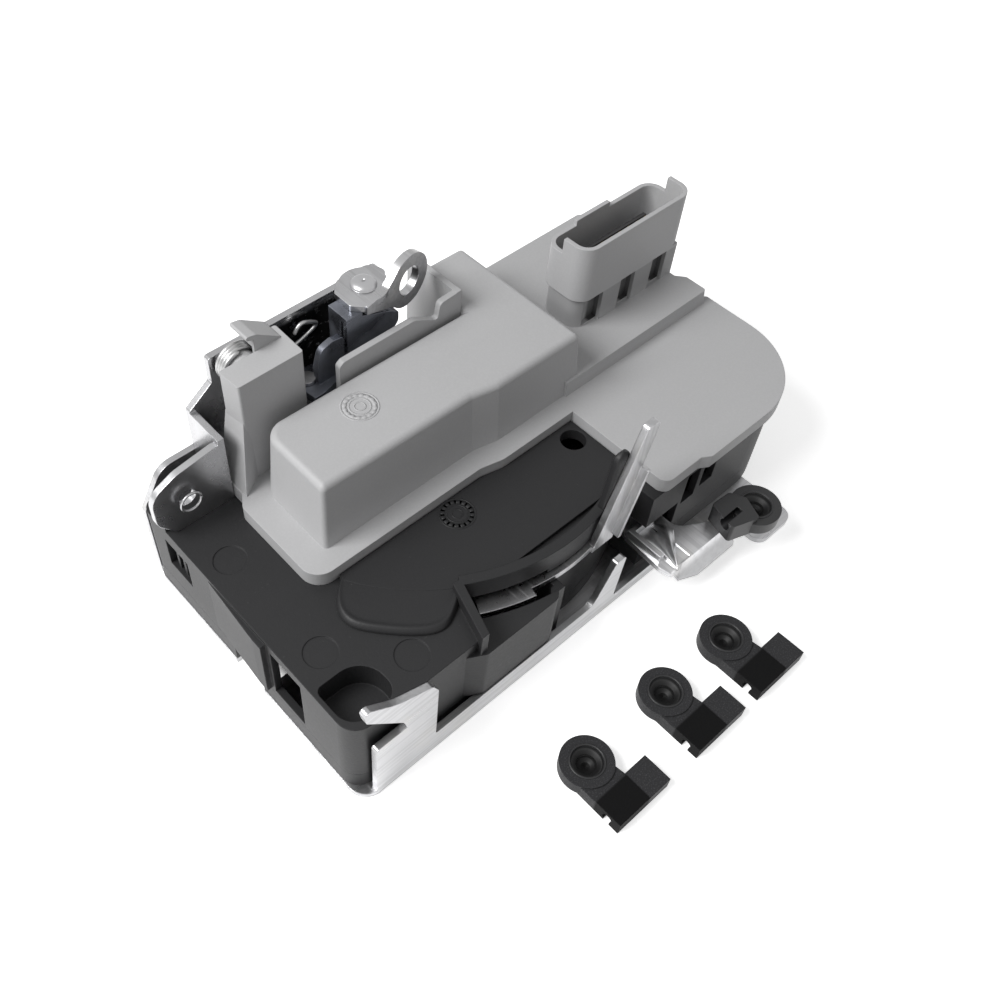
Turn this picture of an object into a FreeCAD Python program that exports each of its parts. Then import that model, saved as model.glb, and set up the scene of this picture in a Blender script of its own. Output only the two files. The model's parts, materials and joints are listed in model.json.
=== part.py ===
import FreeCAD, Part
import math
import os

# Door latch with its lock actuator, in millimetres.
# The plan is laid out from the front left corner of the steel plate: X runs along the
# latch, Y from the front to the back and Z up from the mounting face. At the end every
# piece is moved so that the first fixing hole, on the mounting face, is the origin.

V = FreeCAD.Vector
UP = V(0, 0, 1)

# Running clearances
PIN_FIT = 0.06
GAP = 0.3
SEAT = 0.05

# Steel latch plate
SHEET = 2.0
PLATE_LEFT = -7.0
PLATE_RIGHT = 157.0
PLATE_BACK = 99.0
PLATE_CORNER = 6.0
TONGUE_LEFT = 140.0
TONGUE_FRONT = -16.0
TONGUE_HOLE_X = 148.5
TONGUE_HOLE_Y = -7.0
TONGUE_HOLE_R = 3.25
FRONT_WALL_H = 8.6
FRONT_WALL_RIGHT = 116.0
BACK_WALL_H = 12.0
SHOULDER_H = 43.0
SHOULDER_RIGHT = 58.0
FIX_R = 2.5
FIX_COLLAR_R = 4.6
FIX_COLLAR_H = 4.5
FIX_HOLES = [(10.0, 16.0), (10.0, 84.0), (62.0, 50.0)]

# Striker slot, claw and pawl
SLOT_Y = 50.0
SLOT_W = 13.0
SLOT_END = 36.5
CLAW_X = 30.0
CLAW_Y = 37.0
CLAW_R = 22.0
CLAW_T = 6.0
CLAW_Z = 2.6
CLAW_OPEN = 50.0
STRIKER_R = 13.0
MOUTH_W = 10.0
NOTCH_DEPTH = 3.6
PIN_R = 4.0
PIN_TOP = 12.6
PAWL_X = 27.6
PAWL_Y = 66.0
PAWL_PIN_R = 3.2
TAB_SIDE = 36.2
FOOT_GAP = 0.42

# Black case, in two parts split near the plate
CASE_WALL = 2.2
CASE_LEFT = -6.8
CASE_RIGHT = 176.0
CASE_FRONT = 3.2
CASE_BACK = 96.8
CASE_CORNER = 6.0
CASE_END_R = 24.0
SPLIT_Z = 8.8
DECK_Z = 34.2
DECK_T = 2.4
PLATFORM_Z = 35.8
LEDGE_Z = 30.0
RIGHT_FRONT = 4.2
RIGHT_X = 104.0

# Lock lever: a sector whose rim shows in the arc slot and carries a tall blade
ARC_X = 74.0
ARC_Y = 72.0
RIB_IN_R = 61.3
RIB_OUT_R = 64.3
RIB_TOP = 38.6
SECTOR_Z = 27.6
SECTOR_R = 66.0
SECTOR_WIDE_R = 68.6
PINION_TEETH = 12
MESH_RATIO = 3
TOOTH_UP = 0.9
TOOTH_DOWN = 1.3
BLADE_TOP = 71.0
BLADE_T = 2.0

# Grey actuator cover
SKIN = 2.0
FLANGE_T = 5.0
FLANGE_Z = DECK_Z + FLANGE_T
FLANGE_LEFT = 12.3
FLANGE_FRONT = 41.8
JOG = 1.8
BOX_TOP_L = 62.2
BOX_TOP_R = 60.2
BOX_ROUND = 2.0
BOX_BACK = 76.8
COVER_BACK = 99.6
SLAB_LEFT = 107.3
SLAB_FRONT = 3.7
SLAB_RIGHT = 177.6
SLAB_CORNER_R = 27.0
PLATEAU_Z = 44.5
PLATEAU_FRONT = 45.4
PLATEAU_RIGHT = 174.8
TOWER_TOP = 76.0
TOWER_LEFT = 20.2
TOWER_RIGHT = 41.0
TOWER_FRONT = 80.2
TOWER_BACK = 93.0
TOWER_STEP_X = 31.2
TOWER_STEP_Y = 88.2
TAB_LEFT = 29.2
TAB_RIGHT = 39.7
TAB_RISE = 6.0
TAB_BACK = 95.6
SPRING_X = 28.0
SPRING_Y = 89.6
SPRING_Z = 71.2
SPRING_R = 5.6
SPRING_WIRE = 1.2
SPRING_TURNS = 4
SPRING_ROOM = 6.6
STUB_R = 4.6
POCKET_WALL_Y = 77.6
POCKET_WALL_X = 93.4
POCKET_RIM = 66.6

# Connector shroud
CONN_X0 = 126.6
CONN_X1 = 173.8
CONN_Y0 = 58.9
CONN_Y1 = 75.8
CONN_TOP = 75.6
CONN_STEP = 56.0
CONN_INSET = 1.2
CONN_WALL = 1.4
CONN_FLOOR = CONN_STEP + 1.0
CONN_R = 5.2
EAR_DROP = 5.2
PANEL_START = 4.2
PANEL_W = 6.6
PANEL_PITCH = 14.6
PANEL_DEPTH = 1.6
PIN_COUNT = 8
PIN_PITCH = 3.96

# Support bracket and release lever
BRACKET_BACK = 96.9
BRACKET_TOP = 74.7
EAR_X = 0.8
EAR_Z = 45.6
EAR_Y = 82.0
EAR_R = 10.2
EAR_HOLE_R = 2.7
TURN_X = 12.6
RIVET_X = 69.0
RIVET_Y = 89.6
RIVET_R = 3.0
SHELF_HALF = 5.6
SHELF_REACH = 3.2
EYE_TURN = 12.0
EYE_ALONG = 12.7
EYE_Z = 73.6
EYE_R = 8.5
EYE_HOLE_R = 4.5
EYE_T = 2.5
HORN_TOP = 60.0
RELAY_Y = 82.9
RELAY_T = 1.8

# Lift lever in the pocket behind the box
LIFT_X = 46.0
LIFT_Y = 87.0
LIFT_Z = 54.0
LIFT_PIN_R = 2.5

# Inside release lever and its rod clip
INNER_X = 110.5
INNER_Y = 14.0
INNER_Z = 14.0
INNER_PIN_R = 2.5
EYE2_X = 135.6
EYE2_Y = -11.6
ARM_CREASE = -9.4
ARM_FRONT = -15.4
CLIP_RING_R = 7.6
CLIP_HOLE_R = 3.1
CLIP_T = 5.0

# Lock motor, worm and wheel, in the box of the cover
MOTOR_X = 60.0
MOTOR_L = 28.0
MOTOR_R = 9.6
MOTOR_FLAT = 7.6
MOTOR_Y = 62.0
MOTOR_Z = 48.0
SHAFT_R = 1.0
WORM_X = 95.0
WORM_L = 16.0
WORM_R = 3.4
WORM_PITCH = 2.4
WHEEL_TEETH = 24
WHEEL_X = 105.2
WHEEL_Y = 73.2
WHEEL_T = 5.0
AXLE_R = 1.6

# Switches and tracks
CASE_FLOOR = 4.05
SWITCH_L = 12.8
SWITCH_Y = 40.0
SWITCH_X = [118.0, 140.0]
BUTTON = 2.4
TRACK_T = 0.8

# Spare rod clips laid in front of the latch
SPARE_X = [44.8, 76.6, 103.2]
SPARE_Y = -31.0


# Helpers for outlines and simple solids

def outline(points):
    """Closed wire through (x, y) or (x, y, r) corners, each r rounded by an arc."""
    count = len(points)
    starts = []
    ends = []
    edges = []
    for i, point in enumerate(points):
        here = V(point[0], point[1], 0)
        before = V(points[i - 1][0], points[i - 1][1], 0)
        after = V(points[(i + 1) % count][0], points[(i + 1) % count][1], 0)
        radius = point[2] if len(point) > 2 else 0.0
        if radius <= 0:
            starts.append(here)
            ends.append(here)
            edges.append(None)
            continue
        a = (before - here).normalize()
        b = (after - here).normalize()
        half = a.getAngle(b) / 2.0
        back = radius / math.tan(half)
        middle = here + (a + b).normalize() * (radius / math.sin(half) - radius)
        starts.append(here + a * back)
        ends.append(here + b * back)
        edges.append(Part.Arc(starts[-1], middle, ends[-1]).toShape())
    wire = []
    for i in range(count):
        if edges[i]:
            wire.append(edges[i])
        following = starts[(i + 1) % count]
        if (following - ends[i]).Length > 1e-6:
            wire.append(Part.LineSegment(ends[i], following).toShape())
    return Part.Wire(wire)


def prism(points, z0, z1):
    """Upright solid of a plan outline between two heights."""
    face = Part.Face(outline(points))
    face.translate(V(0, 0, z0))
    return face.extrude(V(0, 0, z1 - z0))


def front_plate(points, y0, y1):
    """Solid of an outline drawn in X and Z, between two depths."""
    face = Part.Face(outline(points))
    face.rotate(V(0, 0, 0), V(1, 0, 0), 90)
    face.translate(V(0, y0, 0))
    return face.extrude(V(0, y1 - y0, 0))


def side_plate(points, x0, x1):
    """Solid of a straight-edged outline drawn in Y and Z, between two places along X."""
    face = Part.Face(Part.makePolygon([V(x0, y, z) for y, z in points + points[:1]]))
    return face.extrude(V(x1 - x0, 0, 0))


def box(x0, x1, y0, y1, z0, z1):
    return Part.makeBox(x1 - x0, y1 - y0, z1 - z0, V(x0, y0, z0))


def post(x, y, z0, z1, r):
    return Part.makeCylinder(r, z1 - z0, V(x, y, z0), UP)


def rod_x(x0, x1, y, z, r):
    return Part.makeCylinder(r, x1 - x0, V(x0, y, z), V(1, 0, 0))


def rod_y(x, y0, y1, z, r):
    return Part.makeCylinder(r, y1 - y0, V(x, y0, z), V(0, 1, 0))


def drafted(low, high, z0, z1):
    """Ruled solid between two outlines with the same corners at two heights."""
    a = outline(low)
    a.translate(V(0, 0, z0))
    b = outline(high)
    b.translate(V(0, 0, z1))
    return Part.makeLoft([a, b], True, True)


def flat_sided(low, high, z0, z1):
    """Tapered solid with flat sides between two outlines whose edges stay parallel."""
    bottom = [V(x, y, z0) for x, y in low]
    top = [V(x, y, z1) for x, y in high]
    faces = [Part.Face(Part.makePolygon(bottom + bottom[:1])),
             Part.Face(Part.makePolygon(top + top[:1]))]
    for i in range(len(low)):
        j = (i + 1) % len(low)
        side = [bottom[i], bottom[j], top[j], top[i], bottom[i]]
        faces.append(Part.Face(Part.makePolygon(side)))
    return Part.makeSolid(Part.makeShell(faces))


def round_upright(solid, x, y, r):
    """Rounds the upright edge that stands near a plan point."""
    edges = [e for e in solid.Edges if e.BoundBox.ZLength > 10
             and math.hypot(e.CenterOfMass.x - x, e.CenterOfMass.y - y) < 2.5]
    return solid.makeFillet(r, edges)


def fuse(first, *others):
    return first.fuse(list(others)).removeSplitter()


def polar(x, y, r, degrees):
    angle = math.radians(degrees)
    return x + r * math.cos(angle), y + r * math.sin(angle)


def ring_sector(x, y, r0, r1, a0, a1, z0, z1):
    """Part of a ring between two radii and two angles in degrees."""
    mid = (a0 + a1) / 2.0
    p = [V(*polar(x, y, r, a), z0) for r in (r0, r1) for a in (a0, mid, a1)]
    edges = [
        Part.Arc(p[0], p[1], p[2]).toShape(),
        Part.LineSegment(p[2], p[5]).toShape(),
        Part.Arc(p[5], p[4], p[3]).toShape(),
        Part.LineSegment(p[3], p[0]).toShape(),
    ]
    return Part.Face(Part.Wire(edges)).extrude(V(0, 0, z1 - z0))


def turned(shape, x, y, degrees):
    shape.rotate(V(x, y, 0), UP, degrees)
    return shape


def coil(turns, r, wire):
    """Close-wound coil about Z from the origin up, turned from one ridged profile."""
    inner = r - wire / 2
    points = [V(inner, 0, 0)]
    for i in range(turns):
        z = i * wire
        points.append(V(r, 0, z))
        points.append(V(r + wire / 2, 0, z + wire * 0.3))
        points.append(V(r + wire / 2, 0, z + wire * 0.7))
    points.append(V(r, 0, turns * wire))
    points.append(V(inner, 0, turns * wire))
    return Part.Face(Part.makePolygon(points + points[:1])).revolve(V(0, 0, 0), UP, 360)


# Steel latch plate

def latch_plate():
    base = prism([
        (PLATE_LEFT, 0, PLATE_CORNER), (TONGUE_LEFT, 0, 1.5),
        (TONGUE_LEFT, TONGUE_FRONT, 4), (PLATE_RIGHT, TONGUE_FRONT, 4),
        (PLATE_RIGHT, PLATE_BACK, 10), (PLATE_LEFT, PLATE_BACK, PLATE_CORNER),
    ], 0, SHEET)
    front = front_plate([
        (-2, 0), (-2, 26, 1), (8.3, 26), (6.9, 30.2, 0.6), (-4.6, 44.6, 1),
        (-5.6, 51, 1.2), (5.2, 42, 20), (16.4, 37, 2), (18.4, 33, 1),
        (18.4, FRONT_WALL_H, 1), (79.5, FRONT_WALL_H, 5), (86.5, 24, 1.2), (90.5, 24, 1.2),
        (89, 5, 1), (FRONT_WALL_RIGHT, 5, 2), (FRONT_WALL_RIGHT, 0),
    ], 0, SHEET)
    back = front_plate([
        (PLATE_LEFT + 1, 0), (PLATE_LEFT + 1, 30, 3), (1.5, SHOULDER_H, 7),
        (SHOULDER_RIGHT, SHOULDER_H, 6), (SHOULDER_RIGHT + 8, BACK_WALL_H, 4),
        (PLATE_RIGHT - 12, BACK_WALL_H, 4), (PLATE_RIGHT - 12, 0),
    ], PLATE_BACK - SHEET, PLATE_BACK)
    collars = [post(x, y, 0, FIX_COLLAR_H, FIX_COLLAR_R) for x, y in FIX_HOLES]
    plate = fuse(base, front, back, *collars)
    slot = prism([
        (PLATE_LEFT - 5, SLOT_Y - SLOT_W / 2), (SLOT_END, SLOT_Y - SLOT_W / 2, SLOT_W / 2 - 0.01),
        (SLOT_END, SLOT_Y + SLOT_W / 2, SLOT_W / 2 - 0.01), (PLATE_LEFT - 5, SLOT_Y + SLOT_W / 2),
    ], -1, SHEET + 1)
    holes = [post(x, y, -1, FIX_COLLAR_H + 1, FIX_R) for x, y in FIX_HOLES]
    holes.append(post(CLAW_X, CLAW_Y, -1, SHEET + 1, PIN_R - 1 + PIN_FIT))
    holes.append(post(PAWL_X, PAWL_Y, -1, SHEET + 1, PAWL_PIN_R - 1 + PIN_FIT))
    holes.append(post(TONGUE_HOLE_X, TONGUE_HOLE_Y, -1, SHEET + 1, TONGUE_HOLE_R))
    return plate.cut([slot] + holes)


def shouldered_pin(x, y, r, top):
    """Pin with a thin rivet root in the plate and a shoulder that carries the lever."""
    root = post(x, y, 0.4, SHEET, r - 1)
    shoulder = post(x, y, SHEET, CLAW_Z - SEAT, r + 2)
    body = post(x, y, SHEET, top, r)
    return fuse(root, shoulder, body)


def claw():
    """Forked rotor, drawn closed with its mouth towards the slot and then turned open."""
    hub = post(CLAW_X, CLAW_Y, CLAW_Z, CLAW_Z + CLAW_T, 10.5)
    fork = ring_sector(CLAW_X, CLAW_Y, 2, CLAW_R, -40, 150, CLAW_Z, CLAW_Z + CLAW_T)
    rotor = fuse(hub, fork)
    mouth = prism([
        (CLAW_X - MOUTH_W / 2, CLAW_Y + STRIKER_R - MOUTH_W / 2, MOUTH_W / 2 - 0.01),
        (CLAW_X + MOUTH_W / 2, CLAW_Y + STRIKER_R - MOUTH_W / 2, MOUTH_W / 2 - 0.01),
        (CLAW_X + MOUTH_W / 2, CLAW_Y + CLAW_R + 5), (CLAW_X - MOUTH_W / 2, CLAW_Y + CLAW_R + 5),
    ], CLAW_Z - 1, CLAW_Z + CLAW_T + 1)
    notch = ring_sector(CLAW_X, CLAW_Y, CLAW_R - NOTCH_DEPTH, CLAW_R + 3, 50, 80,
                        CLAW_Z - 1, CLAW_Z + CLAW_T + 1)
    safety = ring_sector(CLAW_X, CLAW_Y, CLAW_R - NOTCH_DEPTH, CLAW_R + 3, 12, 24,
                         CLAW_Z - 1, CLAW_Z + CLAW_T + 1)
    bore = post(CLAW_X, CLAW_Y, CLAW_Z - 1, CLAW_Z + CLAW_T + 1, PIN_R + PIN_FIT)
    rotor = rotor.cut([mouth, notch, safety, bore])
    return turned(rotor, CLAW_X, CLAW_Y, CLAW_OPEN)


def pawl():
    """Ratchet pawl resting on the rim of the open claw, with a raised tab on its arm."""
    z0 = CLAW_Z
    z1 = CLAW_Z + CLAW_T
    body = prism([
        (42, 52), (44.6, 53.6, 0.6), (48, 59, 1.5), (37.4, 68.5, 5), (TAB_SIDE, 76), (TAB_SIDE, 83, 1),
        (32.4, 83, 1), (31.2, 72.4, 3), (22.4, 71.6, 5), (21.6, 61.5, 5), (26.6, 59.4, 3),
    ], z0, z1)
    tab = box(TAB_SIDE - 3, TAB_SIDE, 75.5, 81.5, z1 - 0.5, z1 + 5)
    bore = post(PAWL_X, PAWL_Y, z0 - 1, z1 + 1, PAWL_PIN_R + PIN_FIT)
    rim = post(CLAW_X, CLAW_Y, z0 - 1, z1 + 1, CLAW_R + GAP)
    return fuse(body, tab).cut([bore, rim])


def claw_bumper():
    """Rubber stop for the open claw, set against the trailing face of its fork."""
    corners = [(12, 204.5), (20, 203.5), (20, 213), (12, 217)]
    points = [polar(CLAW_X, CLAW_Y, r, a) + (0.8,) for r, a in corners]
    return prism(points, SHEET + SEAT, CLAW_Z + CLAW_T)


# Black case

def case_outline(inset):
    """Plan outline of the case, moved in by inset."""
    i = inset
    return [
        (CASE_LEFT + i, CASE_FRONT + i, max(CASE_CORNER - i, 1)),
        (RIGHT_X - 36 - i, CASE_FRONT + i), (RIGHT_X - 36 - i, 22), (RIGHT_X + i, 22),
        (RIGHT_X + i, RIGHT_FRONT + i), (CASE_RIGHT - i, RIGHT_FRONT + i, CASE_END_R - i),
        (CASE_RIGHT - i, CASE_BACK - i, max(4 - i, 1)),
        (CASE_LEFT + i, CASE_BACK - i, max(4 - i, 1)),
    ]


def case_prism(inset, z0, z1):
    """Case solid whose front between its two flat stretches follows the arc of the rib."""
    body = prism(case_outline(inset), z0, z1)
    bay = post(ARC_X, ARC_Y, z0, z1, RIB_OUT_R - inset)
    bay = bay.common(box(RIGHT_X - 36 - inset - 0.5, RIGHT_X + inset + 0.5, 0, 22.5, z0, z1))
    return fuse(body, bay)


def lower_case():
    """Tray between plate and split: a wall all round and a floor under the right end."""
    z0 = SHEET + SEAT
    tray = case_prism(0, z0, SPLIT_Z).cut(case_prism(CASE_WALL, z0 - 1, SPLIT_Z + 1))
    floor = case_prism(CASE_WALL / 2, z0, z0 + 2).common(box(115.5, 200, 0, 120, 0, 50))
    web = box(115.5, 117.5, RIGHT_FRONT + 1, CASE_BACK - 1, z0, SPLIT_Z)
    mouth = box(CASE_LEFT - 1, CASE_LEFT + CASE_WALL + 1, SLOT_Y - SLOT_W / 2,
                SLOT_Y + SLOT_W / 2, 0, SPLIT_Z + 1)
    return fuse(tray, floor, web).cut(mouth)


def upper_case():
    z0 = SPLIT_Z + SEAT
    body = case_prism(0, z0, DECK_Z)
    bulge = prism([(29, 5), (29, 4.2, 1), (36, 0.4, 2), (62, 0.4, 3), (67.5, 5)],
                  FRONT_WALL_H + 0.6, LEDGE_Z)
    bulge_room = prism([(31, 6), (36.4, 2.4, 1), (61.6, 2.4, 1), (65.5, 6)],
                       FRONT_WALL_H, LEDGE_Z - 2)
    room = case_prism(CASE_WALL, z0 - 1, DECK_Z - DECK_T)
    case = fuse(body, bulge).cut([room, bulge_room])
    ledge_cut = prism([(38, -1), (38, 5), (42, 26), (104, 26), (104, -1)],
                      LEDGE_Z, DECK_Z + 5)
    ledge_cut = ledge_cut.cut(post(ARC_X, ARC_Y, 0, 60, RIB_OUT_R))
    case = case.cut(ledge_cut)
    ledge = prism([(38, 1), (38, 6), (41.4, 20), (64, 12), (67.8, 8), (67.8, 4), (62, 1)],
                  LEDGE_Z - 1.8, LEDGE_Z)
    ledge = ledge.cut(post(ARC_X, ARC_Y, 0, 60, SECTOR_WIDE_R + 1))
    platform = prism([
        (17, 36, 6), (16, 22, 7), (30, 12.5, 5), (38.5, 14, 1), (41, 19), (52, 14), (106.8, 14),
        (106.8, FLANGE_FRONT - JOG - GAP), (79, FLANGE_FRONT - JOG - GAP), (71.5, 41.4),
        (20, 41.4),
    ], DECK_Z, PLATFORM_Z)
    platform = platform.common(post(ARC_X, ARC_Y, 0, 60, RIB_OUT_R - 1))
    rib = ring_sector(ARC_X, ARC_Y, RIB_IN_R, RIB_OUT_R, -121, -60.4, DECK_Z, RIB_TOP)
    fence = prism([(34.2, 1.4), (36.6, 1.4), (42.4, 18.4), (39.6, 18.4)], LEDGE_Z - 0.5, RIB_TOP)
    case = fuse(case, ledge, platform, rib, fence)
    return fuse(case.cut(case_cuts()), *case_details())


def case_cuts():
    """Windows, the corner pocket, the locating hole and the slits for the levers."""
    cuts = [
        pocket_space(0, DECK_Z - 9, DECK_Z + 1),
        post(101.8, 34, DECK_Z - 5, PLATFORM_Z + 1, 3.9),
        box(41, 49, 79, 86, DECK_Z - 5, DECK_Z + 1),
        post(WHEEL_X, WHEEL_Y, DECK_Z - 5, DECK_Z + 1, 3.4 + 0.4),
        box(CASE_LEFT - 1, CASE_LEFT + 3, 75, 86, 17.5, 29),
        box(CASE_LEFT - 1, CASE_LEFT + 3, 24, 37, 10.5, 31),
        box(CASE_LEFT - 1, CASE_LEFT + 3, SLOT_Y - SLOT_W / 2, SLOT_Y + SLOT_W / 2, 0, 10.5),
        box(120, 126, RIGHT_FRONT - 1, RIGHT_FRONT + 3, 19, 32),
        box(128, 134, RIGHT_FRONT - 1, RIGHT_FRONT + 3, 21, 32),
        box(RIGHT_X - 6, RIGHT_X + 14.5, RIGHT_FRONT - 3, 19, INNER_Z - 2.5, INNER_Z + 7),
    ]
    for x, y in ((1.3, 65.2), (2.3, 27.1), (19.4, 11.4)):
        cuts.append(post(x, y, DECK_Z - 0.3, DECK_Z + 1, 4.7))
    slit = post(ARC_X, ARC_Y, SECTOR_Z - 0.6, SECTOR_Z + SHEET + 0.6, SECTOR_WIDE_R + 1.6)
    cuts.append(slit.common(box(20, RIGHT_X, 1.8, 40, 0, 60)).cut(
        post(ARC_X, ARC_Y, 0, 60, RIB_IN_R - 5)))
    return cuts


def pocket_space(wall, z0, z1):
    """Rounded well in the front left corner, grown by wall for its cup."""
    w = wall
    return prism([(-5.5 - w, 5.2 - w, 6), (10.2 + w, 5.2 - w, 5), (10.2 + w, 19.5 + w, 8),
                  (-5.5 - w, 19.5 + w, 2)], z0, z1)


def case_details():
    """Well cup, end ribs, skirt over the striker mouth, bosses and motor saddles."""
    cup = pocket_space(1.2, DECK_Z - 11, DECK_Z - 0.5).cut(pocket_space(0, DECK_Z - 9, DECK_Z + 1))
    skirt = prism([(CASE_LEFT + 0.2, 38.5), (CASE_LEFT - 1.7, 38.5), (CASE_LEFT - 1.7, 42),
                   (CASE_LEFT - 0.1, 64), (CASE_LEFT + 0.2, 64)], 10.5, 33)
    details = [cup, skirt]
    for y in (79, 82.4):
        details.append(box(CASE_LEFT + 1.2, CASE_LEFT + 2.4, y, y + 1.2, 17, 29.5))
    details.append(post(CLAW_X, CLAW_Y, PIN_TOP + SEAT, DECK_Z - DECK_T + 0.5, 6))
    details.append(post(PAWL_X, PAWL_Y, PIN_TOP + SEAT, DECK_Z - DECK_T + 0.5, 5))
    details.append(post(INNER_X, INNER_Y, INNER_Z + SHEET + 5, DECK_Z - DECK_T + 0.5, 4))
    details.append(box(CASE_LEFT, TURN_X, EAR_Y + SHEET + SEAT, EAR_Y + SHEET + 2.2,
                       DECK_Z - 0.2, DECK_Z + 3.8))
    for x in (MOTOR_X + 3, MOTOR_X + MOTOR_L - 6):
        details.append(box(x, x + 2.4, MOTOR_Y - 7, MOTOR_Y + 7, DECK_Z - 0.2,
                           MOTOR_Z - MOTOR_FLAT - SEAT))
    return details


# Lock lever

def gear_tooth(pitch_r, tooth_angle, z0, z1):
    """One straight-flanked tooth standing on the +X side of the origin."""
    half = math.radians(tooth_angle) * pitch_r
    return prism([
        (pitch_r - TOOTH_DOWN - 0.6, -half * 0.34), (pitch_r + TOOTH_UP, -half * 0.13),
        (pitch_r + TOOTH_UP, half * 0.13), (pitch_r - TOOTH_DOWN - 0.6, half * 0.34),
    ], z0, z1)


def mesh_line():
    """Distance and angle from the lock lever's pivot to the wheel."""
    dx = WHEEL_X - ARC_X
    dy = WHEEL_Y - ARC_Y
    return math.hypot(dx, dy), math.degrees(math.atan2(dy, dx))


def lock_lever():
    """Stamped sector on its pivot, a toothed arm to the pinion and a tall leaning blade."""
    z0 = SECTOR_Z
    z1 = SECTOR_Z + SHEET
    hub = post(ARC_X, ARC_Y, z0, z1, 7)
    rim = ring_sector(ARC_X, ARC_Y, 58, SECTOR_R, -117, -77, z0, z1)
    wide = ring_sector(ARC_X, ARC_Y, SECTOR_R - 1, SECTOR_WIDE_R, -117, -103, z0, z1)
    arm = prism([(-5, 0), (5, 0), (9, -60), (-9, -60)], z0, z1)
    arm.rotate(V(0, 0, 0), UP, -7)
    arm.translate(V(ARC_X, ARC_Y, 0))
    distance, angle = mesh_line()
    pitch_r = distance * MESH_RATIO / (MESH_RATIO + 1)
    step = 360.0 / (PINION_TEETH * MESH_RATIO)
    quadrant = ring_sector(ARC_X, ARC_Y, 6, pitch_r - TOOTH_DOWN, angle - 1.2 * step,
                           angle + 3.2 * step, z0, z1)
    teeth = []
    for k in range(4):
        tooth = gear_tooth(pitch_r, step, z0, z1)
        tooth.rotate(V(0, 0, 0), UP, angle + (k - 0.5) * step)
        tooth.translate(V(ARC_X, ARC_Y, 0))
        teeth.append(tooth)
    blade_x, blade_y = polar(ARC_X, ARC_Y, SECTOR_R + 0.2, -80)
    half = BLADE_T / 2
    root = box(blade_x - 4.2, blade_x + 4.2, blade_y - half, blade_y + 2.5, z0, z1)
    blade = front_plate([
        (blade_x - 4.2, z0), (blade_x + 4.2, z0), (blade_x + 13.2, BLADE_TOP, 1.5),
        (blade_x + 8.2, BLADE_TOP, 1.5),
    ], blade_y - half, blade_y + half)
    flange = front_plate([
        (blade_x + 3.2, z0 + 3), (blade_x + 4.4, z0 + 3), (blade_x + 10.4, BLADE_TOP - 16),
        (blade_x + 9.4, BLADE_TOP - 16),
    ], blade_y - 3.4, blade_y)
    bore = post(ARC_X, ARC_Y, z0 - 1, z1 + 1, 3 + PIN_FIT)
    return fuse(hub, rim, wide, arm, quadrant, *teeth, root, blade, flange).cut(bore)


def lock_pin():
    """Post on the plate with a shoulder under the lock lever."""
    return fuse(post(ARC_X, ARC_Y, SHEET + SEAT, DECK_Z - DECK_T - SEAT, 3),
                post(ARC_X, ARC_Y, SHEET + SEAT, SECTOR_Z - SEAT, 4.5))


# Grey actuator cover

def cover_plan(inset):
    """Outline of the flange and the slab, moved in by inset."""
    i = inset
    back = COVER_BACK - i
    return [
        (FLANGE_LEFT + i, FLANGE_FRONT + i, max(6 - i, 1)),
        (71.5, FLANGE_FRONT + i, 8), (79, FLANGE_FRONT - JOG + i, 8),
        (SLAB_LEFT + i, FLANGE_FRONT - JOG + i),
        (SLAB_LEFT + i, SLAB_FRONT + i, max(3.2 - i, 0.8)),
        (122.5, SLAB_FRONT + i, 0.5), (125.5, SLAB_FRONT - 1.8 + i, 0.5),
        (SLAB_RIGHT - i, SLAB_FRONT - 1.8 + i, SLAB_CORNER_R - i),
        (SLAB_RIGHT - i, 47 - i, 1), (172.4 - i, 50, 1), (172.4 - i, back, max(3 - i, 1)),
        (POCKET_WALL_X + i, back), (POCKET_WALL_X + i, POCKET_WALL_Y + i),
        (TOWER_RIGHT + 1 - i, POCKET_WALL_Y + i), (TOWER_RIGHT + 1 - i, TOWER_BACK + 1.5 - i, 1),
        (15 + i, TOWER_BACK + 1.5 - i, 2), (15 + i, 78, 1), (FLANGE_LEFT + i, 74, 3),
    ]


def box_plan(inset, back_inset):
    """Corners of the raised motor box, moved in by the taper of its walls."""
    i = inset
    b = back_inset
    return [
        (20.6 + i, 48.0 + i), (74, 48.0 + i), (82.5, 46.2 + i), (116.6 - i, 46.2 + i),
        (116.6 - i, COVER_BACK - 0.5 - b), (POCKET_WALL_X + 1.6 + b, COVER_BACK - 0.5 - b),
        (POCKET_WALL_X + 1.6 + b, BOX_BACK - b), (20.6 + i, BOX_BACK - b),
    ]


def below_slope(drop):
    """Space under the top of the box, which falls slightly from left to right."""
    return front_plate([(0, 0), (140, 0), (140, BOX_TOP_R - 0.5 - drop), (20, BOX_TOP_L - drop),
                        (0, BOX_TOP_L - drop)], 30, 110)


def box_form():
    """Tapered motor box with rounded corners and a softened top edge."""
    form = flat_sided(box_plan(0, 0), box_plan(2.0, 0.6), FLANGE_Z - 1,
                      max(BOX_TOP_L, BOX_TOP_R) + 0.5)
    form = form.common(below_slope(0))
    form = round_upright(form, 21.6, BOX_BACK - 0.3, 6.5)
    for x, y in ((21.6, 49), (115.6, 47.2), (115.6, COVER_BACK - 0.8)):
        form = round_upright(form, x, y, 1.4)
    top = [e for e in form.Edges if e.BoundBox.ZMin > min(BOX_TOP_L, BOX_TOP_R) - 1.2]
    return form.makeFillet(BOX_ROUND, top)


def box_room():
    """Hollow of the motor box, open below."""
    room = flat_sided(box_plan(SKIN, SKIN), box_plan(SKIN + 2, SKIN + 0.6), DECK_Z,
                      max(BOX_TOP_L, BOX_TOP_R))
    return room.common(below_slope(SKIN))


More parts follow.
